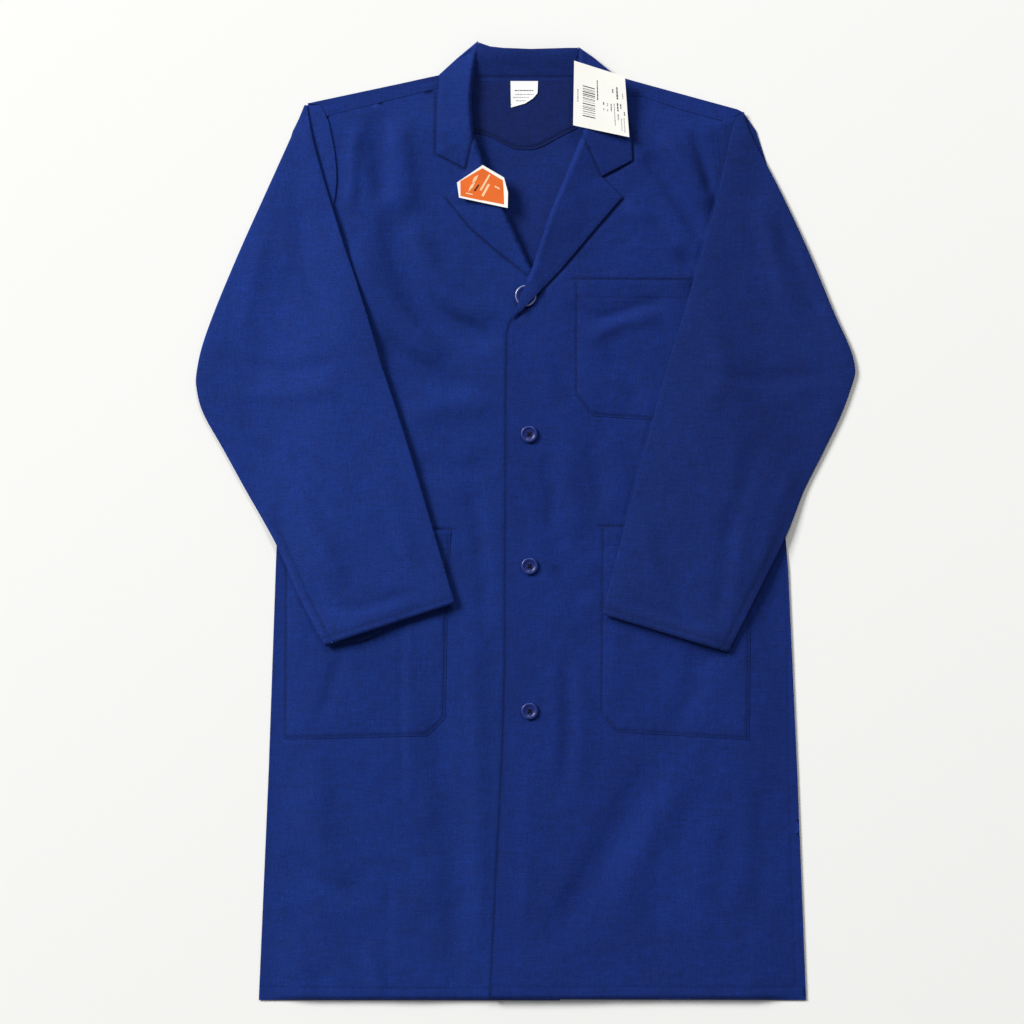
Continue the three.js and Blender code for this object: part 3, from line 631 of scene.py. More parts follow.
L_FRONT = np.array([(215.8, 439.3), (171.1, 451.3), (127.5, 466.5), (113.4, 466.5), (76.3, 478.5), (65.4, 461.1), (61, 424), (27.3, 337.9), (7.6, 278), (-13.1, 225.6), (-17.4, 208.2), (-18.5, 155.9), (-19.6, -150.4), (-21.8, -239.8), (-27.8, -354.2), (-36, -521), (307.4, -521.6), (297.6, -269.2), (287.8, -51.2), (268.1, 194), (249.6, 232.2), (232.2, 286.7), (224.5, 352.1), (213.6, 393.5), (211.5, 419.7)])
l_hem = np.array([(-34.9, -506.3), (306.3, -507.4)])
l_side = np.array([(283.4, -18.5), (287.8, -127.5), (288.3, -236.5), (291.6, -378.2), (296.5, -503.6)])
l_edge = np.array([(-8.2, 223.5), (-12, 206), (-13.1, 155.9), (-14.2, -150.4), (-16.4, -239.8), (-22.3, -354.2), (-30, -503.6)])
lf = build("left_front_cloth", L_FRONT, over_z, 0.6, 4.2, lines=[l_lapel_dip, l_wing_dip, c_mouth, l_mouth], soft=[l_hem, l_side, sleeve_dip], stitches=[l_hem], mats=["coat_right_painted_shade", "seam_thread"])
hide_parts("left_front", "left_front_skirt_corner", "left_side_seam")

# the skirt corner turns back about a slanting fold line; the line is worked out here, but across() only bakes each
# piece's transform and does not fold it
_A, _B = np.array((-21.8, -240.5)), np.array((266.5, -522.1))
_t = (_B - _A) / np.hypot(*(_B - _A))
_n = np.array([_t[1], -_t[0]])
if _n @ (np.array((-36, -521)) - _A) < 0:
    _n = -_n
_m = (_A + _B) / 2


def across(piece, mid, nrm, half0, half1, z=8.0):
    p, q = mid - nrm * half0, mid + nrm * half1
    wp(p[0], p[1], z)
    wp(q[0], q[1], z)
    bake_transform(piece)


across(lf, _m, _n, 9, 9)

L_FACING = np.array([(70.9, 474.2), (66.5, 461.1), (62.7, 422.9), (29.4, 337.9), (9.8, 278), (-10.9, 225.6), (-15.3, 208.2), (-16.4, 155.9), (-17.4, -150.4), (-19.6, -239.8), (-25.6, -354.2), (-33.2, -506.9), (43.6, -506.9), (43.6, 112.3), (70.9, 210.4), (94.8, 319.4), (103.6, 406.6), (97, 467.6)])
lfac = build("left_front_facing_cloth", L_FACING, lambda P: over_z(P) - 1.1, 0.5, 9.0, mats=["inside"])
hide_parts("left_front_facing", "left_facing_skirt_corner")
across(lfac, _m, _n, 9, 9)

# forward shoulder strips: the back wraps over the shoulder to this seam
R_SH = np.array([(-237.1, 458.6), (-99.7, 487.8), (-57.8, 496.5), (-67.6, 481.2), (-97, 475), (-214.7, 445.6), (-218, 443.1), (-224.9, 457.3)])
L_SH = np.array([(238.7, 448.9), (232.2, 452), (109, 485.8), (61, 497.6), (76.3, 478.9), (113.4, 466.8), (127.5, 466.8), (171.1, 451.7), (215.8, 439.6)])
r_seam = np.array([(-212.6, 447.3), (-97, 476.8), (-70.9, 482.3)])
l_seam = np.array([(78.5, 480), (113.4, 468.7), (127.5, 468.7), (171.1, 453.4), (213.6, 441.5)])
rs = build("right_shoulder_cloth", R_SH, lambda P: under_z(P) + 0.45, 0.6, 3.4, soft=[r_seam], stitches=[r_seam], mats=["coat", "seam_thread"])
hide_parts("right_shoulder_strip")
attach(rs, "torso")
ls = build("left_shoulder_cloth", L_SH, lambda P: over_z(P) + 0.45, 0.6, 3.4, soft=[l_seam], stitches=[l_seam], mats=["coat_right_painted_shade", "seam_thread"])
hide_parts("left_shoulder_strip")
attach(ls, "torso")

# ------------------------------------------------------------ collar
RI = np.array([(-51.2, 526.5), (-50.1, 519.9), (-54.5, 498.1), (-57.8, 461.1), (-55.6, 424), (-44.7, 392.4), (-19.6, 335.7), (6.5, 278)])
RO = np.array([(-51.2, 526.5), (-74.1, 507.4), (-93.7, 489.4), (-95.9, 450.2), (-95.9, 402.2), (-64.3, 387), (-85, 355.3), (-58.9, 322.6), (-28.3, 296.5), (4.4, 270.3)])
LI = np.array([(58.3, 519.9), (57.8, 504.7), (58.9, 461.1), (62.1, 424), (27.3, 337.9), (7.6, 278), (-13.1, 224.5)])
LO = np.array([(58.3, 519.9), (75.2, 507.9), (94.8, 491.6), (105.7, 466.5), (115.5, 419.7), (116.6, 395.7), (83.5, 378.4), (105.7, 355.3), (73, 317.2), (38.2, 275.8), (-12.5, 222.4)])
TOPB = np.array((0.8, 247.8))


def roll_height(P, inner, outer, hi_neck, hi_low, y_neck, y_low):
    d1, _ = seg_dist(P, smooth_line(inner, 3.0))
    d2, _ = seg_dist(P, outer)
    s = d1 / np.maximum(d1 + d2, 1e-6)
    k = ss((P[:, 1] - y_low) / (y_neck - y_low))
    h = hi_low + (hi_neck - hi_low) * k
    edge = np.sqrt(np.clip(1 - (1 - np.clip(d1 / 4.5, 0, 1)) ** 2, 0, 1))
    body = (1 - s) ** 1.15
    return (h * body + 2.1) * (0.12 + 0.88 * edge)


def r_collar_z(P):
    base = np.maximum(under_z(P), 2.2 + 3.0 * ss((P[:, 1] - 470) / 30.0))
    base = 6.9 * (1 - ss((P[:, 1] - 455) / 60.0)) + 4.6 * ss((P[:, 1] - 455) / 60.0)
    return np.maximum(base, under_z(P)) + roll_height(P, RI, RO, 7.5, 4.6, 470, 300) + 0.3 * ripple(P, 61)


def l_collar_z(P):
    base = 9.4 * (1 - ss((P[:, 1] - 455) / 60.0)) + 5.6 * ss((P[:, 1] - 455) / 60.0)
    z = np.maximum(base, over_z(P)) + roll_height(P, LI, LO, 7.5, 4.4, 470, 270) + 0.3 * ripple(P, 63)
    d = np.hypot(P[:, 0] - TOPB[0], P[:, 1] - TOPB[1])
    b = ss((24 - d) / 10.0)
    return z * (1 - b) + np.maximum(z, 15.7) * b


R_WING = np.array([(-51.2, 526.5), (-74.1, 507.4), (-93.7, 489.4), (-95.9, 450.2), (-95.9, 403.3), (-64.3, 387), (-56.2, 424), (-58.3, 461.1), (-55, 498.1), (-50.7, 519.9)])
L_WING = np.array([(58.3, 519.9), (75.2, 507.9), (94.8, 491.6), (105.7, 466.5), (115.5, 419.7), (116.6, 395.7), (83.5, 378.4), (62.5, 424), (58.9, 461.1), (57.8, 504.7)])
R_LAPEL = np.array([(-56, 423.6), (-44.7, 392.4), (-19.6, 335.7), (6.5, 278), (4.4, 270.3), (-28.3, 296.5), (-58.9, 322.6), (-85, 355.3), (-64.3, 386.1)])
L_LAPEL = np.array([(62.8, 423.6), (83.7, 377.8), (105.7, 355.3), (73, 317.2), (38.2, 275.8), (-12.5, 222.4), (-13.6, 224.5), (7.6, 278), (27.3, 337.9)])


def offset_line(L, d):
    L = np.asarray(L, float)
    t = np.gradient(L, axis=0)
    t /= np.maximum(np.hypot(t[:, 0], t[:, 1]), 1e-9)[:, None]
    return L + np.stack([-t[:, 1], t[:, 0]], -1) * d


def inward(L, poly, d):
    a = offset_line(resample(L, 6.0), d)
    b = offset_line(resample(L, 6.0), -d)
    return a if inside(a, poly).mean() >= inside(b, poly).mean() else b


r_gorge = np.array([(-56.1, 424), (-64.3, 386.4)])
l_gorge = np.array([(62.1, 424), (83.5, 378.2)])
rw = build("right_collar_wing_cloth", R_WING, r_collar_z, 1.1, 2.8, lines=[r_gorge], mats=["coat"], rim=0.5)
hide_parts("right_collar_wing")
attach(rw, "torso")
lw = build("left_collar_wing_cloth", L_WING, l_collar_z, 1.1, 2.8, lines=[l_gorge], mats=["coat_right_painted_shade"], rim=0.5)
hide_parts("left_collar_wing")
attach(lw, "torso")
rl = build("right_lapel_cloth", R_LAPEL, r_collar_z, 1.1, 2.8, lines=[r_gorge], mats=["coat"], rim=0.5)
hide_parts("right_lapel")
ll = build("left_lapel_cloth", L_LAPEL, l_collar_z, 1.1, 2.8, lines=[l_gorge], mats=["coat_right_painted_shade"], rim=0.5)
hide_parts("left_lapel")


def along(piece, p, q, z=9.0):
    wp(p[0], p[1], z)
    wp(q[0], q[1], z)
    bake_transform(piece)


along(rl, (-67.6, 395.7), (-57.8, 367.3))
along(ll, (78.5, 393.5), (64.3, 363))

# collar stand seen inside, folding over into the leaf behind the neck
STAND = np.array([(-50.7, 524.3), (-38.2, 519.9), (-24, 518.2), (5.5, 517.1), (33.8, 517.8), (46.9, 518.2), (57.8, 518.3), (58.3, 502.5), (58.9, 482.9), (-56.7, 482.9), (-54.5, 502.5)])
FOLD = np.array([(-51.2, 524.3), (-38.2, 519.9), (-24, 518.2), (5.5, 517.1), (33.8, 517.8), (46.9, 518.2), (57.8, 518.3)])


def stand_z(P):
    t = ss((P[:, 1] - 482.5) / 34.0)
    return 3.6 + 7.2 * t + 0.5 * noise(P[:, 0], P[:, 1], 28, 71) * t


st_line = np.array([(-53.4, 487.2), (56.7, 487.2)])
st = build("collar_stand_cloth", STAND, stand_z, 1.0, 3.0, lines=[st_line], stitches=[st_line], mats=["inside", "seam_thread"], rim=0.5)
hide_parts("collar_stand")
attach(st, "torso")
LEAF = np.array([(-50.7, 523.6), (-38.2, 519.3), (-24, 517.5), (5.5, 516.4), (33.8, 517.1), (46.9, 517.5), (57.8, 517.6), (75.2, 504.7), (86.1, 493.8), (90.5, 446.9), (-87.2, 446.9), (-81.8, 498.1), (-64.3, 513.4)])


def leaf_z(P):
    t = ss((P[:, 1] - 470) / 46.0)
    return 0.75 + 8.3 * t ** 2


lfz = build("collar_leaf_cloth", LEAF, leaf_z, 0.7, 4.0, mats=["coat"])
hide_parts("collar_leaf")
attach(lfz, "torso")

# ------------------------------------------------------------ pockets
def pocket(name, node, poly, base, mouth, seed, mat, hem):
    sides = np.roll(poly, -1, 0)

    def z(P):
        ring = np.concatenate([poly[1:], poly[:1]])
        d, _ = seg_dist(P, ring[: len(poly)])
        m, _ = seg_dist(P, mouth)
        up = ss(d / 16.0)
        gape = 1.5 * ss((22 - m) / 22.0) * (0.35 + 0.65 * up)
        return base(P) + 0.75 + 0.9 * up + gape + 0.25 * up * ripple(P, seed)
    ring = np.concatenate([poly[1:], poly[:1]])
    edge = inward(resample(ring, 5.0), poly, 2.0)
    keep = inside(edge, poly)
    edge = edge[keep]
    o = build(name, poly, z, 0.6, 3.6, lines=[edge], soft=[hem], stitches=[edge, hem], mats=[mat, "seam_thread"], rim=0.25)
    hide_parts(node)
    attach(o, "torso")
    return o


CHEST = np.array([(184.2, 264.3), (54, 264.9), (54, 140.6), (71.9, 117.2), (165.7, 110.6), (184.2, 133)])
cp = pocket("chest_pocket_cloth", "chest_pocket", CHEST, over_z, CHEST[:2], 81, "coat_right_painted_shade", np.array([(182, 245.3), (56.1, 245.7)]))
RPOC = np.array([(-262.7, -1.1), (-81.1, -8.4), (-85, -99.2), (-87.2, -213.6), (-106.8, -232.2), (-263.8, -236.1)])
rp = pocket("right_lower_pocket_cloth", "right_lower_pocket", RPOC, under_lap, RPOC[:2], 83, "coat", np.array([(-260.5, -21.8), (-83.9, -28.9)]))
LPOC = np.array([(83.2, -4.8), (247.4, -4.4), (244.2, -236.5), (99.2, -227.8), (81.4, -208.2)])
lp = pocket("left_lower_pocket_cloth", "left_lower_pocket", LPOC, over_z, LPOC[:2], 85, "coat_right_painted_shade", np.array([(85, -25.1), (245.3, -25.1)]))

# ------------------------------------------------------------ sleeves
def torso_level(P, over):
    d = din(P)
    t = 1.5 + 6.0 * ss(d / 62.0) if not over else 1.5 + (6.0 + 0.85) * ss(d / 62.0)
    t = np.where(d < 0, 1.5 * ss((d + 30) / 30.0), t)
    return t + 3.7 * ss((d + 26) / 52.0)


def sleeve(name, nodes, outer_up, outer_low, inner_up, inner_low, over, mat, seed, seam_side, elbow, side):
    """a flattened open tube: nv rows along it, nu points round it"""
    nvu, nvl, nh = 64, 72, 40
    def curve(L, n):
        L = smooth_line(np.asarray(L), 2.0)
        acc = np.concatenate([[0], np.cumsum(np.hypot(*np.diff(L, axis=0).T))])
        s = np.linspace(0, acc[-1], n)
        return np.column_stack([np.interp(s, acc, L[:, 0]), np.interp(s, acc, L[:, 1])])
    O = np.concatenate([curve(outer_up, nvu), curve(outer_low, nvl)[1:]])
    I = np.concatenate([curve(inner_up, nvu), curve(inner_low, nvl)[1:]])
    # smooth the elbow a little, keep the cuff corners
    for _ in range(2):
        for A in (O, I):
            A[1:-1] = 0.25 * A[:-2] + 0.5 * A[1:-1] + 0.25 * A[2:]
    nv = len(O)
    v = np.linspace(0, 1, nv)
    w = np.hypot(*(I - O).T)
    theta = np.linspace(0, math.pi, nh)
    u = -np.cos(theta)  # -1 outer, 1 inner
    cuff_open = ss((v - 0.93) / 0.07)

    def half(sign, inset):
        rows = []
        for i in range(nv):
            mid, hw = (O[i] + I[i]) / 2, (I[i] - O[i]) / 2
            k = max(0.0, 1 - inset / max(w[i] / 2, 1e-3))
            p = mid + np.outer(u * k, hw)
            if sign < 0 and cuff_open[i] > 0:
                # the under side runs a little longer than the upper at the open mouth
                dr = (O[-1] - O[-6] + I[-1] - I[-6]) / 2
                dr = dr / np.hypot(*dr)
                p = p + np.outer(np.exp(-((u + 0.45) / 0.42) ** 2) * (7.5 if side > 0 else 2.0) * cuff_open[i], dr)
            hgt = (2.4 + 3.2 * min(1, w[i] / 120)) * min(1, w[i] / 26.0)
            prof = np.power(np.clip(1 - np.abs(u) ** 2.6, 0, 1), 0.5)
            base = torso_level(mid + np.outer(u, hw), over)
            top = base + 0.8 + hgt * 0.5 * (1 + sign * prof) - sign * inset * prof
            if sign > 0:
                q = p
                f = 2.0 * folds(q, SLEEVE_FOLDS[seed]) + ripple(q, seed, 0.95)
                top = top + prof * f * min(1, w[i] / 60.0)
                top = top + cuff_open[i] * np.exp(-((u + 0.5) / 0.4) ** 2) * 3.0
            rows.append(np.column_stack([p, top]))
        return np.array(rows)
    up, lo = half(1, 0), half(-1, 0)
    ring = np.concatenate([up, lo[:, ::-1][:, 1:-1]], 1)          # nv x nu x 3
    upi, loi = half(1, 0.55), half(-1, 0.55)
    ringi = np.concatenate([upi, loi[:, ::-1][:, 1:-1]], 1)
    nu = ring.shape[1]
    # seam and hem lines as grooves on the outer skin, with the colour darkened along them: painted shade
    hemk = nv - 1 - int(round(11.0 / (np.hypot(*(O[-1] - O[-2])))))
    sh = np.ones((nv, nu))
    zz = ring[:, :, 2]
    for r, a in ((hemk, 0.22), (hemk - 1, 0.05), (hemk + 1, 0.05)):
        zz[r, :] -= a * np.sign(ring[r, :, 2] - ring[r, :, 2].mean()) * 1.0
        sh[r, :] *= 1 - 0.45 * (a / 0.45)
    wid = w[:, None]
    uu = np.concatenate([u, u[::-1][1:-1]])
    topmask = np.zeros(nu); topmask[:nh] = 1
    dist_outer = (uu[None, :] + 1) * 0.5 * wid
    lowpart = ss((v - 0.72) / 0.06)[:, None]
    g = np.exp(-((dist_outer - 8.5) / 1.6) ** 2) * topmask[None, :] * lowpart
    zz -= g * 0.5
    sh *= 1 - 0.4 * g
    verts = np.concatenate([ring.reshape(-1, 3), ringi.reshape(-1, 3)])
    # the inner skin of the sleeve is painted darker: painted shade
    shade_v = np.concatenate([sh.reshape(-1), np.full(nv * nu, 0.75)])
    N = nv * nu
    faces = []
    for i in range(nv - 1):
        for j in range(nu):
            a, b = i * nu + j, i * nu + (j + 1) % nu
            c, d = a + nu, b + nu
            faces.append((a, c, d, b))
            faces.append((a + N, b + N, d + N, c + N))
    last = (nv - 1) * nu
    for j in range(nu):
        a, b = last + j, last + (j + 1) % nu
        faces.append((a, a + N, b + N, b))
    # the narrow head is closed
    faces.append(tuple(range(nu)))
    faces.append(tuple(N + k for k in range(nu))[::-1])
    if side < 0:
        faces = [tuple(reversed(f)) for f in faces]
    base_n = len(verts)
    mi = [0] * len(faces)
    # hem stitches
    row = ring[hemk, 2:nh - 2, :2]
    zf = lambda q: np.interp(q[:, 0] if side else q[:, 0], np.sort(ring[hemk, :nh, 0]), ring[hemk, :nh, 2][np.argsort(ring[hemk, :nh, 0])]) + 0.5
    sv, sf = stitch_mesh([row], zf)
    verts = np.concatenate([verts, sv]); shade_v = np.concatenate([shade_v, np.ones(len(sv))])
    faces += [tuple(int(i) + base_n for i in f) for f in sf]
    mi += [1] * len(sf)
    o = mesh_object(name, verts, faces, [mat, "seam_thread"], mi, shade_v)
    me = o.data
    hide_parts(*nodes)
    a, b = np.array(elbow[0]), np.array(elbow[1])
    t = (b - a) / np.hypot(*(b - a))
    n = np.array([-t[1], t[0]])
    if n[1] > 0:
        n = -n
    across(o, (a + b) / 2, n, 20, 20, 10)
    return o, ring


SLEEVE_FOLDS = {
    91: [([(-286.7, 330.3), (-299.8, 254), (-315, 188.6)], 1.0, 12), ([(-245.3, 352.1), (-239.8, 275.8), (-212.6, 210.4)], -0.9, 12), ([(-321.6, 177.7), (-256.2, 164.6), (-190.8, 186.4)], -0.8, 9),
         ([(-327, 142.8), (-267.1, 139.5), (-190.8, 150.4)], 0.9, 10), ([(-299.8, 90.5), (-245.3, 57.8), (-201.7, -18.5)], -0.9, 14), ([(-278, 25.1), (-245.3, -40.3), (-207.1, -105.7)], -1.6, 9),
         ([(-256.2, 46.9), (-223.5, -18.5), (-190.8, -83.9)], 1.1, 10), ([(-158.1, 90.5), (-136.2, 3.3), (-114.5, -62.1)], 0.8, 12), ([(-245.3, -83.9), (-190.8, -94.8), (-114.5, -73)], -0.9, 7)],
    95: [([(272.5, 352.1), (299.8, 275.8), (337.9, 199.5)], -1.5, 10), ([(250.7, 363), (272.5, 286.7), (299.8, 210.4)], 1.2, 10), ([(316.1, 243.1), (348.8, 194), (354.2, 166.8)], 1.0, 8),
         ([(179.9, 166.8), (256.2, 155.9), (343.4, 164.6)], -0.8, 9), ([(190.8, 243.1), (212.6, 177.7), (196.2, 112.3)], 0.8, 12), ([(256.2, 101.4), (234.4, 25.1), (212.6, -40.3)], -1.0, 13),
         ([(299.8, 79.6), (272.5, 3.3), (245.3, -83.9)], 1.1, 10), ([(228.9, 25.1), (218, -51.2), (207.1, -122.1)], -1.0, 9), ([(125.4, 25.1), (136.2, -40.3), (147.2, -83.9)], 0.8, 10),
         ([(103.6, -83.9), (158.1, -100.3), (207.1, -116.6)], -0.8, 6)],
}
R_out_up = [(-240.9, 456.7), (-252.9, 428.4), (-282.3, 363), (-311.7, 297.6), (-339, 232.2), (-354.2, 188.6), (-360.2, 155.9)]
R_out_low = [(-360.2, 155.9), (-353.2, 123.2), (-329.2, 79.6), (-305.2, 36), (-271.4, -24), (-244.2, -83.9), (-218, -133.5)]
R_in_up = [(-238.2, 456.2), (-232.2, 421.8), (-218, 369.5), (-198.4, 306.3), (-184.2, 264.9), (-162.4, 194), (-155.9, 170)]
R_in_low = [(-155.9, 170), (-147.2, 145), (-124.3, 74.1), (-92.7, -32.7), (-76.3, -87.2)]
rsl, _ = sleeve("right_sleeve_cloth", ["right_upper_sleeve_under", "right_upper_sleeve_top", "right_forearm_sleeve_under", "right_forearm_sleeve_top"],
                R_out_up, R_out_low, R_in_up, R_in_low, False, "sleeve_r_painted_light", 91, -1, ((-361.3, 155.9), (-155.9, 170)), 1)
L_out_up = [(239.3, 449.1), (245.3, 428.4), (279, 363), (309.6, 297.6), (336.8, 232.2), (356.4, 188.6), (361.9, 164.6)]
L_out_low = [(361.9, 164.6), (347.7, 123.2), (327, 79.6), (305.2, 36), (285.6, -13.1), (252.9, -78.5), (221.3, -140.6)]
L_in_up = [(236.5, 448), (226.7, 431.6), (215.8, 382.6), (204.9, 337.9), (191.8, 293.2), (171.1, 222.4), (155.9, 175.5)]
L_in_low = [(155.9, 175.5), (147.2, 142.8), (128.6, 74.1), (100.3, -34.9), (83.9, -99.2)]
lsl, _ = sleeve("left_sleeve_cloth", ["left_upper_sleeve_under", "left_upper_sleeve_top", "left_forearm_sleeve_under", "left_forearm_sleeve_top"],
                L_out_up, L_out_low, L_in_up, L_in_low, True, "sleeve_l_painted_shade", 95, 1, ((363, 164.6), (155.9, 175.5)), -1)


# sleeve heads: from the armhole seam out under the folded sleeve
def cap_z(over):
    def z(P):
        d = din(P)
        t = torso_level(P, over) - 3.7 * ss((d + 26) / 52.0)
        return np.maximum(t + 0.9, 0.9) + 0.3 * ripple(P, 101 + over) + 1.3 * ss((d + 4) / 16.0)
    return z


R_CAP = np.array([(-239.8, 456.7), (-224.9, 457.1), (-219.1, 449.1), (-214.7, 438.2), (-211.5, 424), (-208.4, 406.6), (-206.4, 389.1), (-206, 373.9), (-207.5, 358.6), (-210.4, 343.4), (-216.9, 313.9), (-232.2, 270.3), (-254, 223.5), (-263.8, 194), (-299.8, 204.9), (-301.9, 243.1), (-286.7, 308.5), (-267.1, 384.8), (-254, 428.4)])
r_arm = np.array([(-223.5, 454.5), (-216.9, 441.5), (-210.4, 410.9), (-205.5, 379.3), (-208.7, 352.1)])
rc = build("right_sleeve_head_cloth", R_CAP, cap_z(0), 0.6, 3.6, mats=["sleeve_r_painted_light"], rim=0.4)
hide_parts("right_sleeve_cap")
L_CAP = np.array([(239.3, 448), (215.8, 439.8), (211.5, 419.7), (213.6, 393.5), (216.9, 352.1), (224.5, 297.6), (243.1, 237.6), (268.1, 194), (299.8, 204.9), (303, 243.1), (288.9, 308.5), (267.1, 384.8), (252.9, 428.4)])
lc = build("left_sleeve_head_cloth", L_CAP, cap_z(1), 0.6, 3.6, mats=["sleeve_l_painted_shade"], rim=0.4)
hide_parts("left_sleeve_cap")
wp(*(-225.6, 456.7))
wp(*(np.array((-225.6, 456.7)) + np.array([-241.0, 35.0]) / 243.0 * 62))
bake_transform(rc)
wp(*(216.9, 441.5))
wp(*(np.array((216.9, 441.5)) + np.array([229.0, 47.0]) / 234.0 * 62))
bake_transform(lc)

# ------------------------------------------------------------ buttons
def button(k, c, r, z0):
    c = np.array(c)
    ang = np.linspace(0, 2 * math.pi, 97)[:-1]
    circ = lambda rr, n=96, o=(0, 0): np.stack([c[0] + o[0] + rr * np.cos(np.linspace(0, 2 * math.pi, n + 1)[:-1]), c[1] + o[1] + rr * np.sin(np.linspace(0, 2 * math.pi, n + 1)[:-1])], -1)
    holes = [circ(0.8, 20, (1.9 * math.cos(math.pi / 4 + i * math.pi / 2), 1.9 * math.sin(math.pi / 4 + i * math.pi / 2))) for i in range(4)]
    prof_r = np.array([0, .30, .52, .60, .68, .78, .88, .95, 1.0]) * r
    prof_z = np.array([1.55, 1.6, 1.75, 2.05, 2.55, 2.8, 2.78, 2.45, 1.75])
    bot_r = np.array([0, .7, .85, 1.0]) * r
    bot_z = np.array([0.0, 0.0, 0.35, 1.25])
    rings = np.concatenate([circ(q * r, 72) for q in (.42, .52, .57, .62, .67, .73, .79, .85, .9, .94, .97)])

    def top(P):
        d = np.hypot(P[:, 0] - c[0], P[:, 1] - c[1])
        return z0 + np.interp(d, prof_r, prof_z)

    def bot(P):
        d = np.hypot(P[:, 0] - c[0], P[:, 1] - c[1])
        return z0 + np.interp(d, bot_r, bot_z)
    o = build("button_%d_moulding" % k, circ(r, 96), top, 1, 0.9, holes=holes, zbot=bot, mats=["button"], fine=rings)
    # the rim is turned, not cut; a ring of faces near its edge takes the lighter rim material, a painted highlight,
    # narrower and brightest on the top button
    o.data.materials.append(MATS["button_silver" if k == 1 else "button_rim"])
    cen = world([[c[0], c[1], 0]])[0]
    for f in o.data.polygons:
        d = math.hypot(f.center.x - cen[0], f.center.y - cen[1]) * 1000 / r
        if f.normal.z > 0 and (0.88 if k == 1 else 0.80) < d < 0.95:
            f.material_index = 1
    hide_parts("button_%d" % k)
    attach(o, "button_unit_%d" % k)
    return o


BUTTONS = [((0.8, 247.8), 12.0), ((4.4, 97), 9.2), ((4.9, -46.9), 9.2), ((4.9, -204.9), 9.2)]
for k, (c, r) in enumerate(BUTTONS):
    button(k + 1, c, r, 11.1)
    t = frame["nodes"]["button_thread_%d" % (k + 1)]
    for s in t.material_slots:
        s.material = MATS["button_thread"]
    # worked buttonhole: a dense bar of thread beside the button
    if k:
        cc = np.array(c)
        L = np.stack([np.linspace(cc[0] - 9.5, cc[0] + 13.5, 24), np.full(24, cc[1])], -1)
        rows = []
        for i, s in enumerate(np.arange(9.6, 13.4, 0.62)):
            rows.append(np.array([[cc[0] + s, cc[1] - 1.5], [cc[0] + s, cc[1] + 1.5]]))
        sv, sf = stitch_mesh(rows, lambda P: over_z(P) + 0.45, length=2.6, pitch=2.9, r=0.3)
        o = mesh_object("buttonhole_%d_thread" % (k + 1), sv, sf, ["seam_thread"], [0] * len(sf), np.full(len(sv), 0.8))
        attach(o, "torso")

# ------------------------------------------------------------ label and tags
def card(name, node, poly, z, mats, prints, body, thick=0.45, sp=1.6):
    """a thin card with flat printed patches raised a hair above it"""
    o = build(name, poly, z, thick, sp, mats=[mats[0]])
    me = o.data
    vs, fs, mi = [], [], []
    n = 0
    for quad, m in prints:
        q = np.asarray(quad, float)
        if len(q) == 4:
            a = [q[0] + (q[1] - q[0]) * t for t in np.linspace(0, 1, 7)]
            b = [q[3] + (q[2] - q[3]) * t for t in np.linspace(0, 1, 7)]
            g = np.array([x for p in zip(a, b) for x in p])
            zz = z(g) + 0.05
            vs += [(x, y, w) for (x, y), w in zip(g, zz)] + [(x, y, w - 0.12) for (x, y), w in zip(g, zz)]
            m_ = len(g)
            for i in range(6):
                p = n + 2 * i
                fs += [(p, p + 1, p + 3, p + 2)]
                fs += [(p + m_, p + 2 + m_, p + 3 + m_, p + 1 + m_)]
                fs += [(p, p + 2, p + 2 + m_, p + m_), (p + 1, p + 1 + m_, p + 3 + m_, p + 3)]
            fs += [(n, n + m_, n + 1 + m_, n + 1), (n + 12, n + 13, n + 13 + m_, n + 12 + m_)]
            n += 2 * m_
            mi += [mats.index(m) - 1] * 26
    if fs:
        p = mesh_object(name.replace("_card", "_print"), np.array(vs), fs, mats[1:], mi, None)
        p.data.validate()
        import bmesh
        bm = bmesh.new(); bm.from_mesh(p.data); bmesh.ops.recalc_face_normals(bm, faces=bm.faces); bm.to_mesh(p.data); bm.free()
        p.data.polygons.foreach_set("use_smooth", np.zeros(len(p.data.polygons), bool))
        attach(p, body)
    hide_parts(node)
    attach(o, body)
    return o


def quad_on(corners, u0, v0, u1, v1):
    c = np.asarray(corners, float)  # top-left, top-right, bottom-right, bottom-left
    f = lambda u, v: (c[0] * (1 - u) + c[1] * u) * (1 - v) + (c[3] * (1 - u) + c[2] * u) * v
    return [f(u0, v0), f(u1, v0), f(u1, v1), f(u0, v1)]


WT = np.array([(53.4, 503), (108.6, 485.6), (113.4, 419.7), (52.3, 432.7)])


def wt_z(P):
    x = (P[:, 0] - WT[0, 0]) / 60.0
    y = (WT[0, 1] - P[:, 1]) / 70.0
    return 18.4 + 1.6 * (x - 0.4) ** 2 + 1.2 * (y - 0.5) ** 2


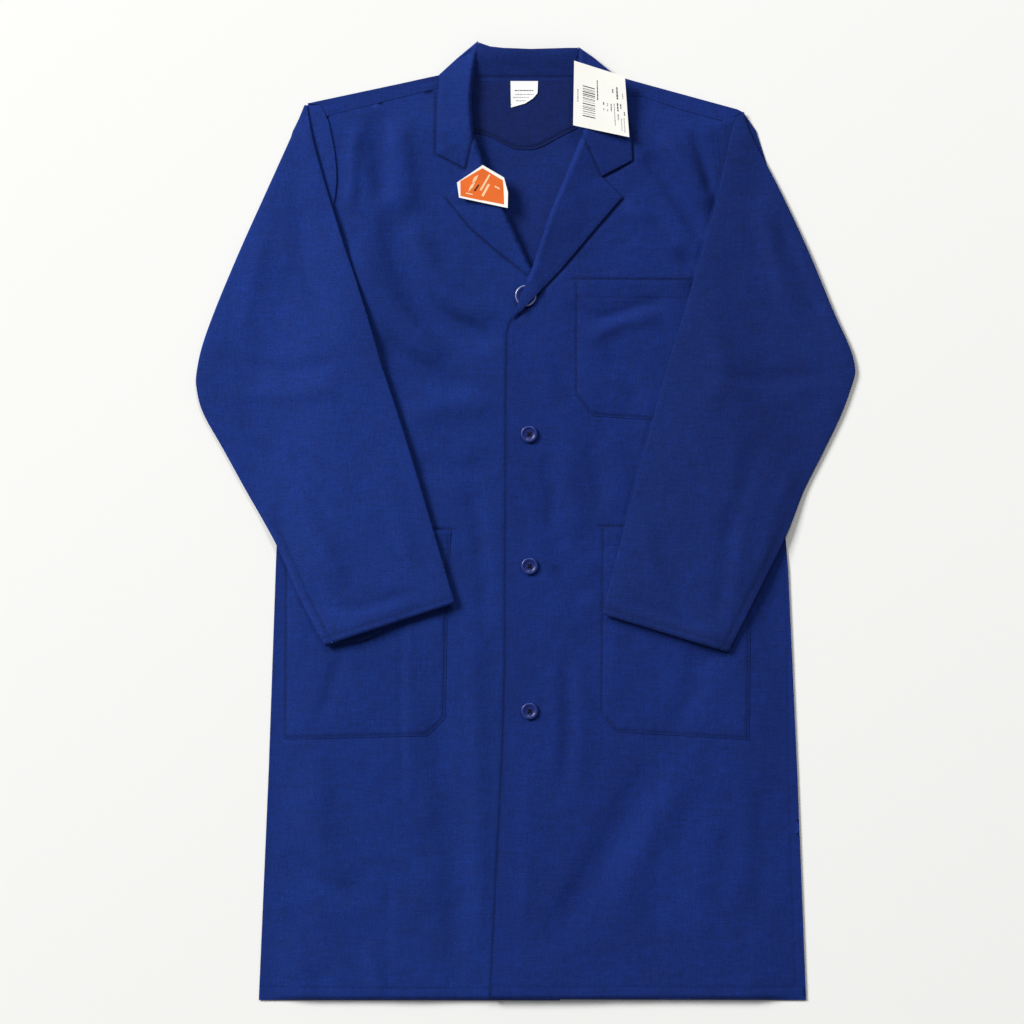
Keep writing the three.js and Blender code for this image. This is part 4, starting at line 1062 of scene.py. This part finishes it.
bars = []
rng = np.random.RandomState(4)
v = 0.34
while v < 0.82:
    h = rng.choice([0.006, 0.010, 0.016])
    bars.append((quad_on(WT, 0.17, v, 0.40, v + h), "ink"))
    v += h + rng.choice([0.012, 0.018, 0.026])
for u, v0, v1, wd, m in [(0.07, 0.42, 0.62, .02, "ink_soft"), (0.44, 0.2, 0.52, .02, "ink"), (0.55, 0.52, 0.57, .02, "ink"), (0.55, 0.62, 0.66, .02, "ink_soft"),
                         (0.62, 0.52, 0.57, .02, "ink_soft"), (0.62, 0.62, 0.66, .02, "ink_soft"), (0.69, 0.52, 0.64, .02, "ink"), (0.73, 0.27, 0.33, .025, "ink"),
                         (0.75, 0.5, 0.86, .018, "ink_soft"), (0.81, 0.22, 0.42, .03, "ink"), (0.81, 0.48, 0.62, .025, "ink"), (0.81, 0.66, 0.76, .025, "ink_soft"),
                         (0.87, 0.48, 0.56, .02, "ink"), (0.87, 0.72, 0.92, .015, "ink_soft"), (0.92, 0.3, 0.38, .02, "ink_soft"), (0.93, 0.6, 0.66, .02, "ink"), (0.92, 0.7, 0.94, .015, "ink_soft")]:
    s = v0
    while s < v1 - 0.005:
        e = min(v1, s + rng.uniform(0.02, 0.05))
        bars.append((quad_on(WT, u, s, u + wd, e), m))
        s = e + 0.008
wtag = card("white_hang_tag_card", "white_hang_tag", WT, wt_z, ["white_card", "ink", "ink_soft"], bars, "white_tag")

OT = np.array([(-46.1, 389.7), (-22.9, 376.1), (-18.5, 359.7), (-18.9, 342.9), (-71.9, 354.2), (-74.1, 370.6)])


def ot_z(P):
    x = (P[:, 0] - OT[:, 0].mean()) / 27.0
    y = (P[:, 1] - OT[:, 1].mean()) / 23.0
    return 16.2 + 0.9 * x * x + 0.5 * y * y


opr = [(np.array([(-70.4, 372.1), (-46.3, 386.3), (-46.7, 351), (-70.2, 356)]), "orange"), (np.array([(-46.3, 386.3), (-24, 373), (-22.7, 346.6), (-46.7, 351.4)]), "orange")]
otag = card("orange_hang_tag_card", "orange_hang_tag", OT, ot_z, ["white_card", "orange", "cream", "ink_dark"], opr, "orange_tag")


def ot_z2(P):
    return ot_z(P) + 0.34


marks = []
for a, b, m in [([(-55.6, 376.1), (-50.6, 379.3), (-52.9, 373.3), (-57.8, 369.5)], 0, "cream"), ([(-59.4, 367.3), (-53.8, 372.1), (-56.5, 365.6), (-61.9, 360.2)], 0, "cream"),
                ([(-39.2, 379.8), (-37.5, 378.7), (-47.5, 361.4), (-49.3, 362.8)], 0, "cream"), ([(-40.3, 369.5), (-38.2, 368.2), (-45.1, 355.3), (-47.5, 356.4)], 0, "cream"),
                ([(-50.9, 368.9), (-49.5, 367.8), (-54.3, 360.8), (-56, 361.9)], 0, "ink_dark"), ([(-64.3, 359.7), (-56.7, 358.2), (-56.9, 356.9), (-64.5, 358.4)], 0, "cream"),
                ([(-32.7, 367.3), (-27.3, 364.5), (-27.9, 363), (-33.4, 365.8)], 0, "cream")]:
    marks.append((np.array(a), m))
vs, fs, mi = [], [], []
names = ["cream", "ink_dark"]
for q, m in marks:
    n = len(vs)
    z1 = ot_z2(q)
    vs += [(p[0], p[1], z + 0.02) for p, z in zip(q, z1)] + [(p[0], p[1], z - 0.1) for p, z in zip(q, z1)]
    fs += [(n, n + 1, n + 2, n + 3), (n + 7, n + 6, n + 5, n + 4)] + [(n + i, n + 4 + i, n + 4 + (i + 1) % 4, n + (i + 1) % 4) for i in range(4)]
    mi += [names.index(m)] * 6
omk = mesh_object("orange_tag_marks", np.array(vs), fs, names, mi, None)
import bmesh
bm = bmesh.new(); bm.from_mesh(omk.data); bmesh.ops.recalc_face_normals(bm, faces=bm.faces); bm.to_mesh(omk.data); bm.free()
omk.data.polygons.foreach_set("use_smooth", np.zeros(len(omk.data.polygons), bool))
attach(omk, "orange_tag")

NL = np.array([(-15.8, 482.9), (14.2, 482.9), (13.7, 469.8), (8.7, 463.8), (0, 458.3), (-15.3, 454)])


def nl_z(P):
    curl = ss(((P[:, 0] - NL[5, 0]) * 0.6 - (P[:, 1] - NL[5, 1]) - 0) / 30.0)
    e = np.clip(((P[:, 0] - 0) + (475 - P[:, 1]) * 1.1) / 40.0, 0, 1)
    return facing_z(P) + 0.55 + 2.6 * e ** 2


lab = []
for y, x0, x1, m in [(89.0, 514.6, 533.5, "ink"), (93.0, 515, 534, "ink_soft"), (96.0, 513, 529, "ink_soft"), (99.3, 516, 526, "ink_soft")]:
    s = x0
    while s < x1 - 0.6:
        e = min(x1, s + rng.uniform(1.2, 3.0))
        lab.append((np.array([[(s - 525) * 1.09, (523 - y) * 1.09], [(e - 525) * 1.09, (523 - y) * 1.09], [(e - 525) * 1.09, (523 - y - 0.9) * 1.09], [(s - 525) * 1.09, (523 - y - 0.9) * 1.09]]), m))
        s = e + 0.5
nlab = card("neck_label_card", "neck_label", NL, nl_z, ["label_cloth", "ink", "ink_soft"], lab, "label", thick=0.3, sp=1.4)

for n, m in (("white_tag_fastener", "nylon"), ("orange_tag_fastener", "nylon")):
    for s in frame["nodes"][n].material_slots:
        s.material = MATS[m]

def bbox_flat(o):
    co = np.array([v.co for v in o.data.vertices])
    return co.min(0), co.max(0)


def poly_area(p):
    p = np.asarray(p, float)
    return abs(np.sum(p[:, 0] * np.roll(p[:, 1], -1) - np.roll(p[:, 0], -1) * p[:, 1])) / 2e6


SHEETS = ((back, BACK, "laid", "floor"), (neckf, NECK_FACING, "laid", "back_panel_cloth"), (rf, R_FRONT, "laid", "back_panel_cloth"),
          (rfac, R_FACING, "laid", "back_panel_cloth"), (lf, L_FRONT, "laid", "right_front_cloth"), (lfac, L_FACING, "laid", "right_front_cloth"),
          (rs, R_SH, "laid", "right_front_cloth"), (ls, L_SH, "laid", "left_front_cloth"), (rw, R_WING, "folded", "right_front_cloth"),
          (lw, L_WING, "folded", "left_front_cloth"), (rl, R_LAPEL, "folded", "right_front_cloth"), (ll, L_LAPEL, "folded", "left_front_cloth"),
          (st, STAND, "folded", "back_panel_cloth"), (lfz, LEAF, "folded", "floor"), (cp, CHEST, "laid", "left_front_cloth"),
          (rp, RPOC, "laid", "right_front_cloth"), (lp, LPOC, "laid", "left_front_cloth"), (rc, R_CAP, "laid", "right_front_cloth"), (lc, L_CAP, "laid", "left_front_cloth"))
for o, p, held, under in SHEETS:
    p = np.asarray(p)
    w, l = (p.max(0) - p.min(0)) / 1000
    a = max(poly_area(p), 0.31 * w * l)

# ------------------------------------------------------------ stage
def flat_mat(name, rgb, rough=0.9):
    m = bpy.data.materials.new(name)
    m.use_nodes = True
    b = m.node_tree.nodes["Principled BSDF"]
    b.inputs["Base Color"].default_value = (*rgb, 1)
    b.inputs["Roughness"].default_value = rough
    b.inputs["Specular IOR Level"].default_value = 0.1
    return m


bpy.ops.mesh.primitive_plane_add(size=14, location=(0, 0, -0.0005))
floor = bpy.context.object
floor.name = "floor"
floor.data.materials.append(flat_mat("floor_paint", (0.90, 0.90, 0.875)))

scn = bpy.context.scene
scn.view_settings.view_transform = "Standard"
wd = bpy.data.worlds.new("studio")
scn.world = wd
wd.use_nodes = True
wd.node_tree.nodes["Background"].inputs["Color"].default_value = (0.97, 0.98, 1.0, 1)
wd.node_tree.nodes["Background"].inputs["Strength"].default_value = 0.20


def area_light(name, loc, target, size, power, color=(1, 1, 1)):
    d = bpy.data.lights.new(name, "AREA")
    d.energy = power
    d.size = size
    d.color = color
    o = bpy.data.objects.new(name, d)
    scn.collection.objects.link(o)
    o.location = loc
    o.rotation_euler = (Vector(target) - Vector(loc)).to_track_quat("-Z", "Y").to_euler()
    return o


area_light("key", (-13.0, 9.0, 10.8), (0.0, 0.0, 0), 7.0, 4350)
area_light("side", (2.4, 9.2, 8.8), (0.0, 0.0, 0), 3.2, 460)

cam_d = bpy.data.cameras.new("camera")
cam = bpy.data.objects.new("camera", cam_d)
scn.collection.objects.link(cam)
cx, cy = (512 - 525) * 1.09 + OFF[0], (523 - 512) * 1.09 + OFF[1]
DIST = 3.4
cam_d.sensor_width = 36
cam_d.lens = 36 * (DIST - 0.012) / (1024 * 1.09 / 1000)
cam_d.clip_end = 50
cam.location = (cx / 1000, cy / 1000, DIST)
cam.rotation_euler = (0, 0, 0)
scn.camera = cam
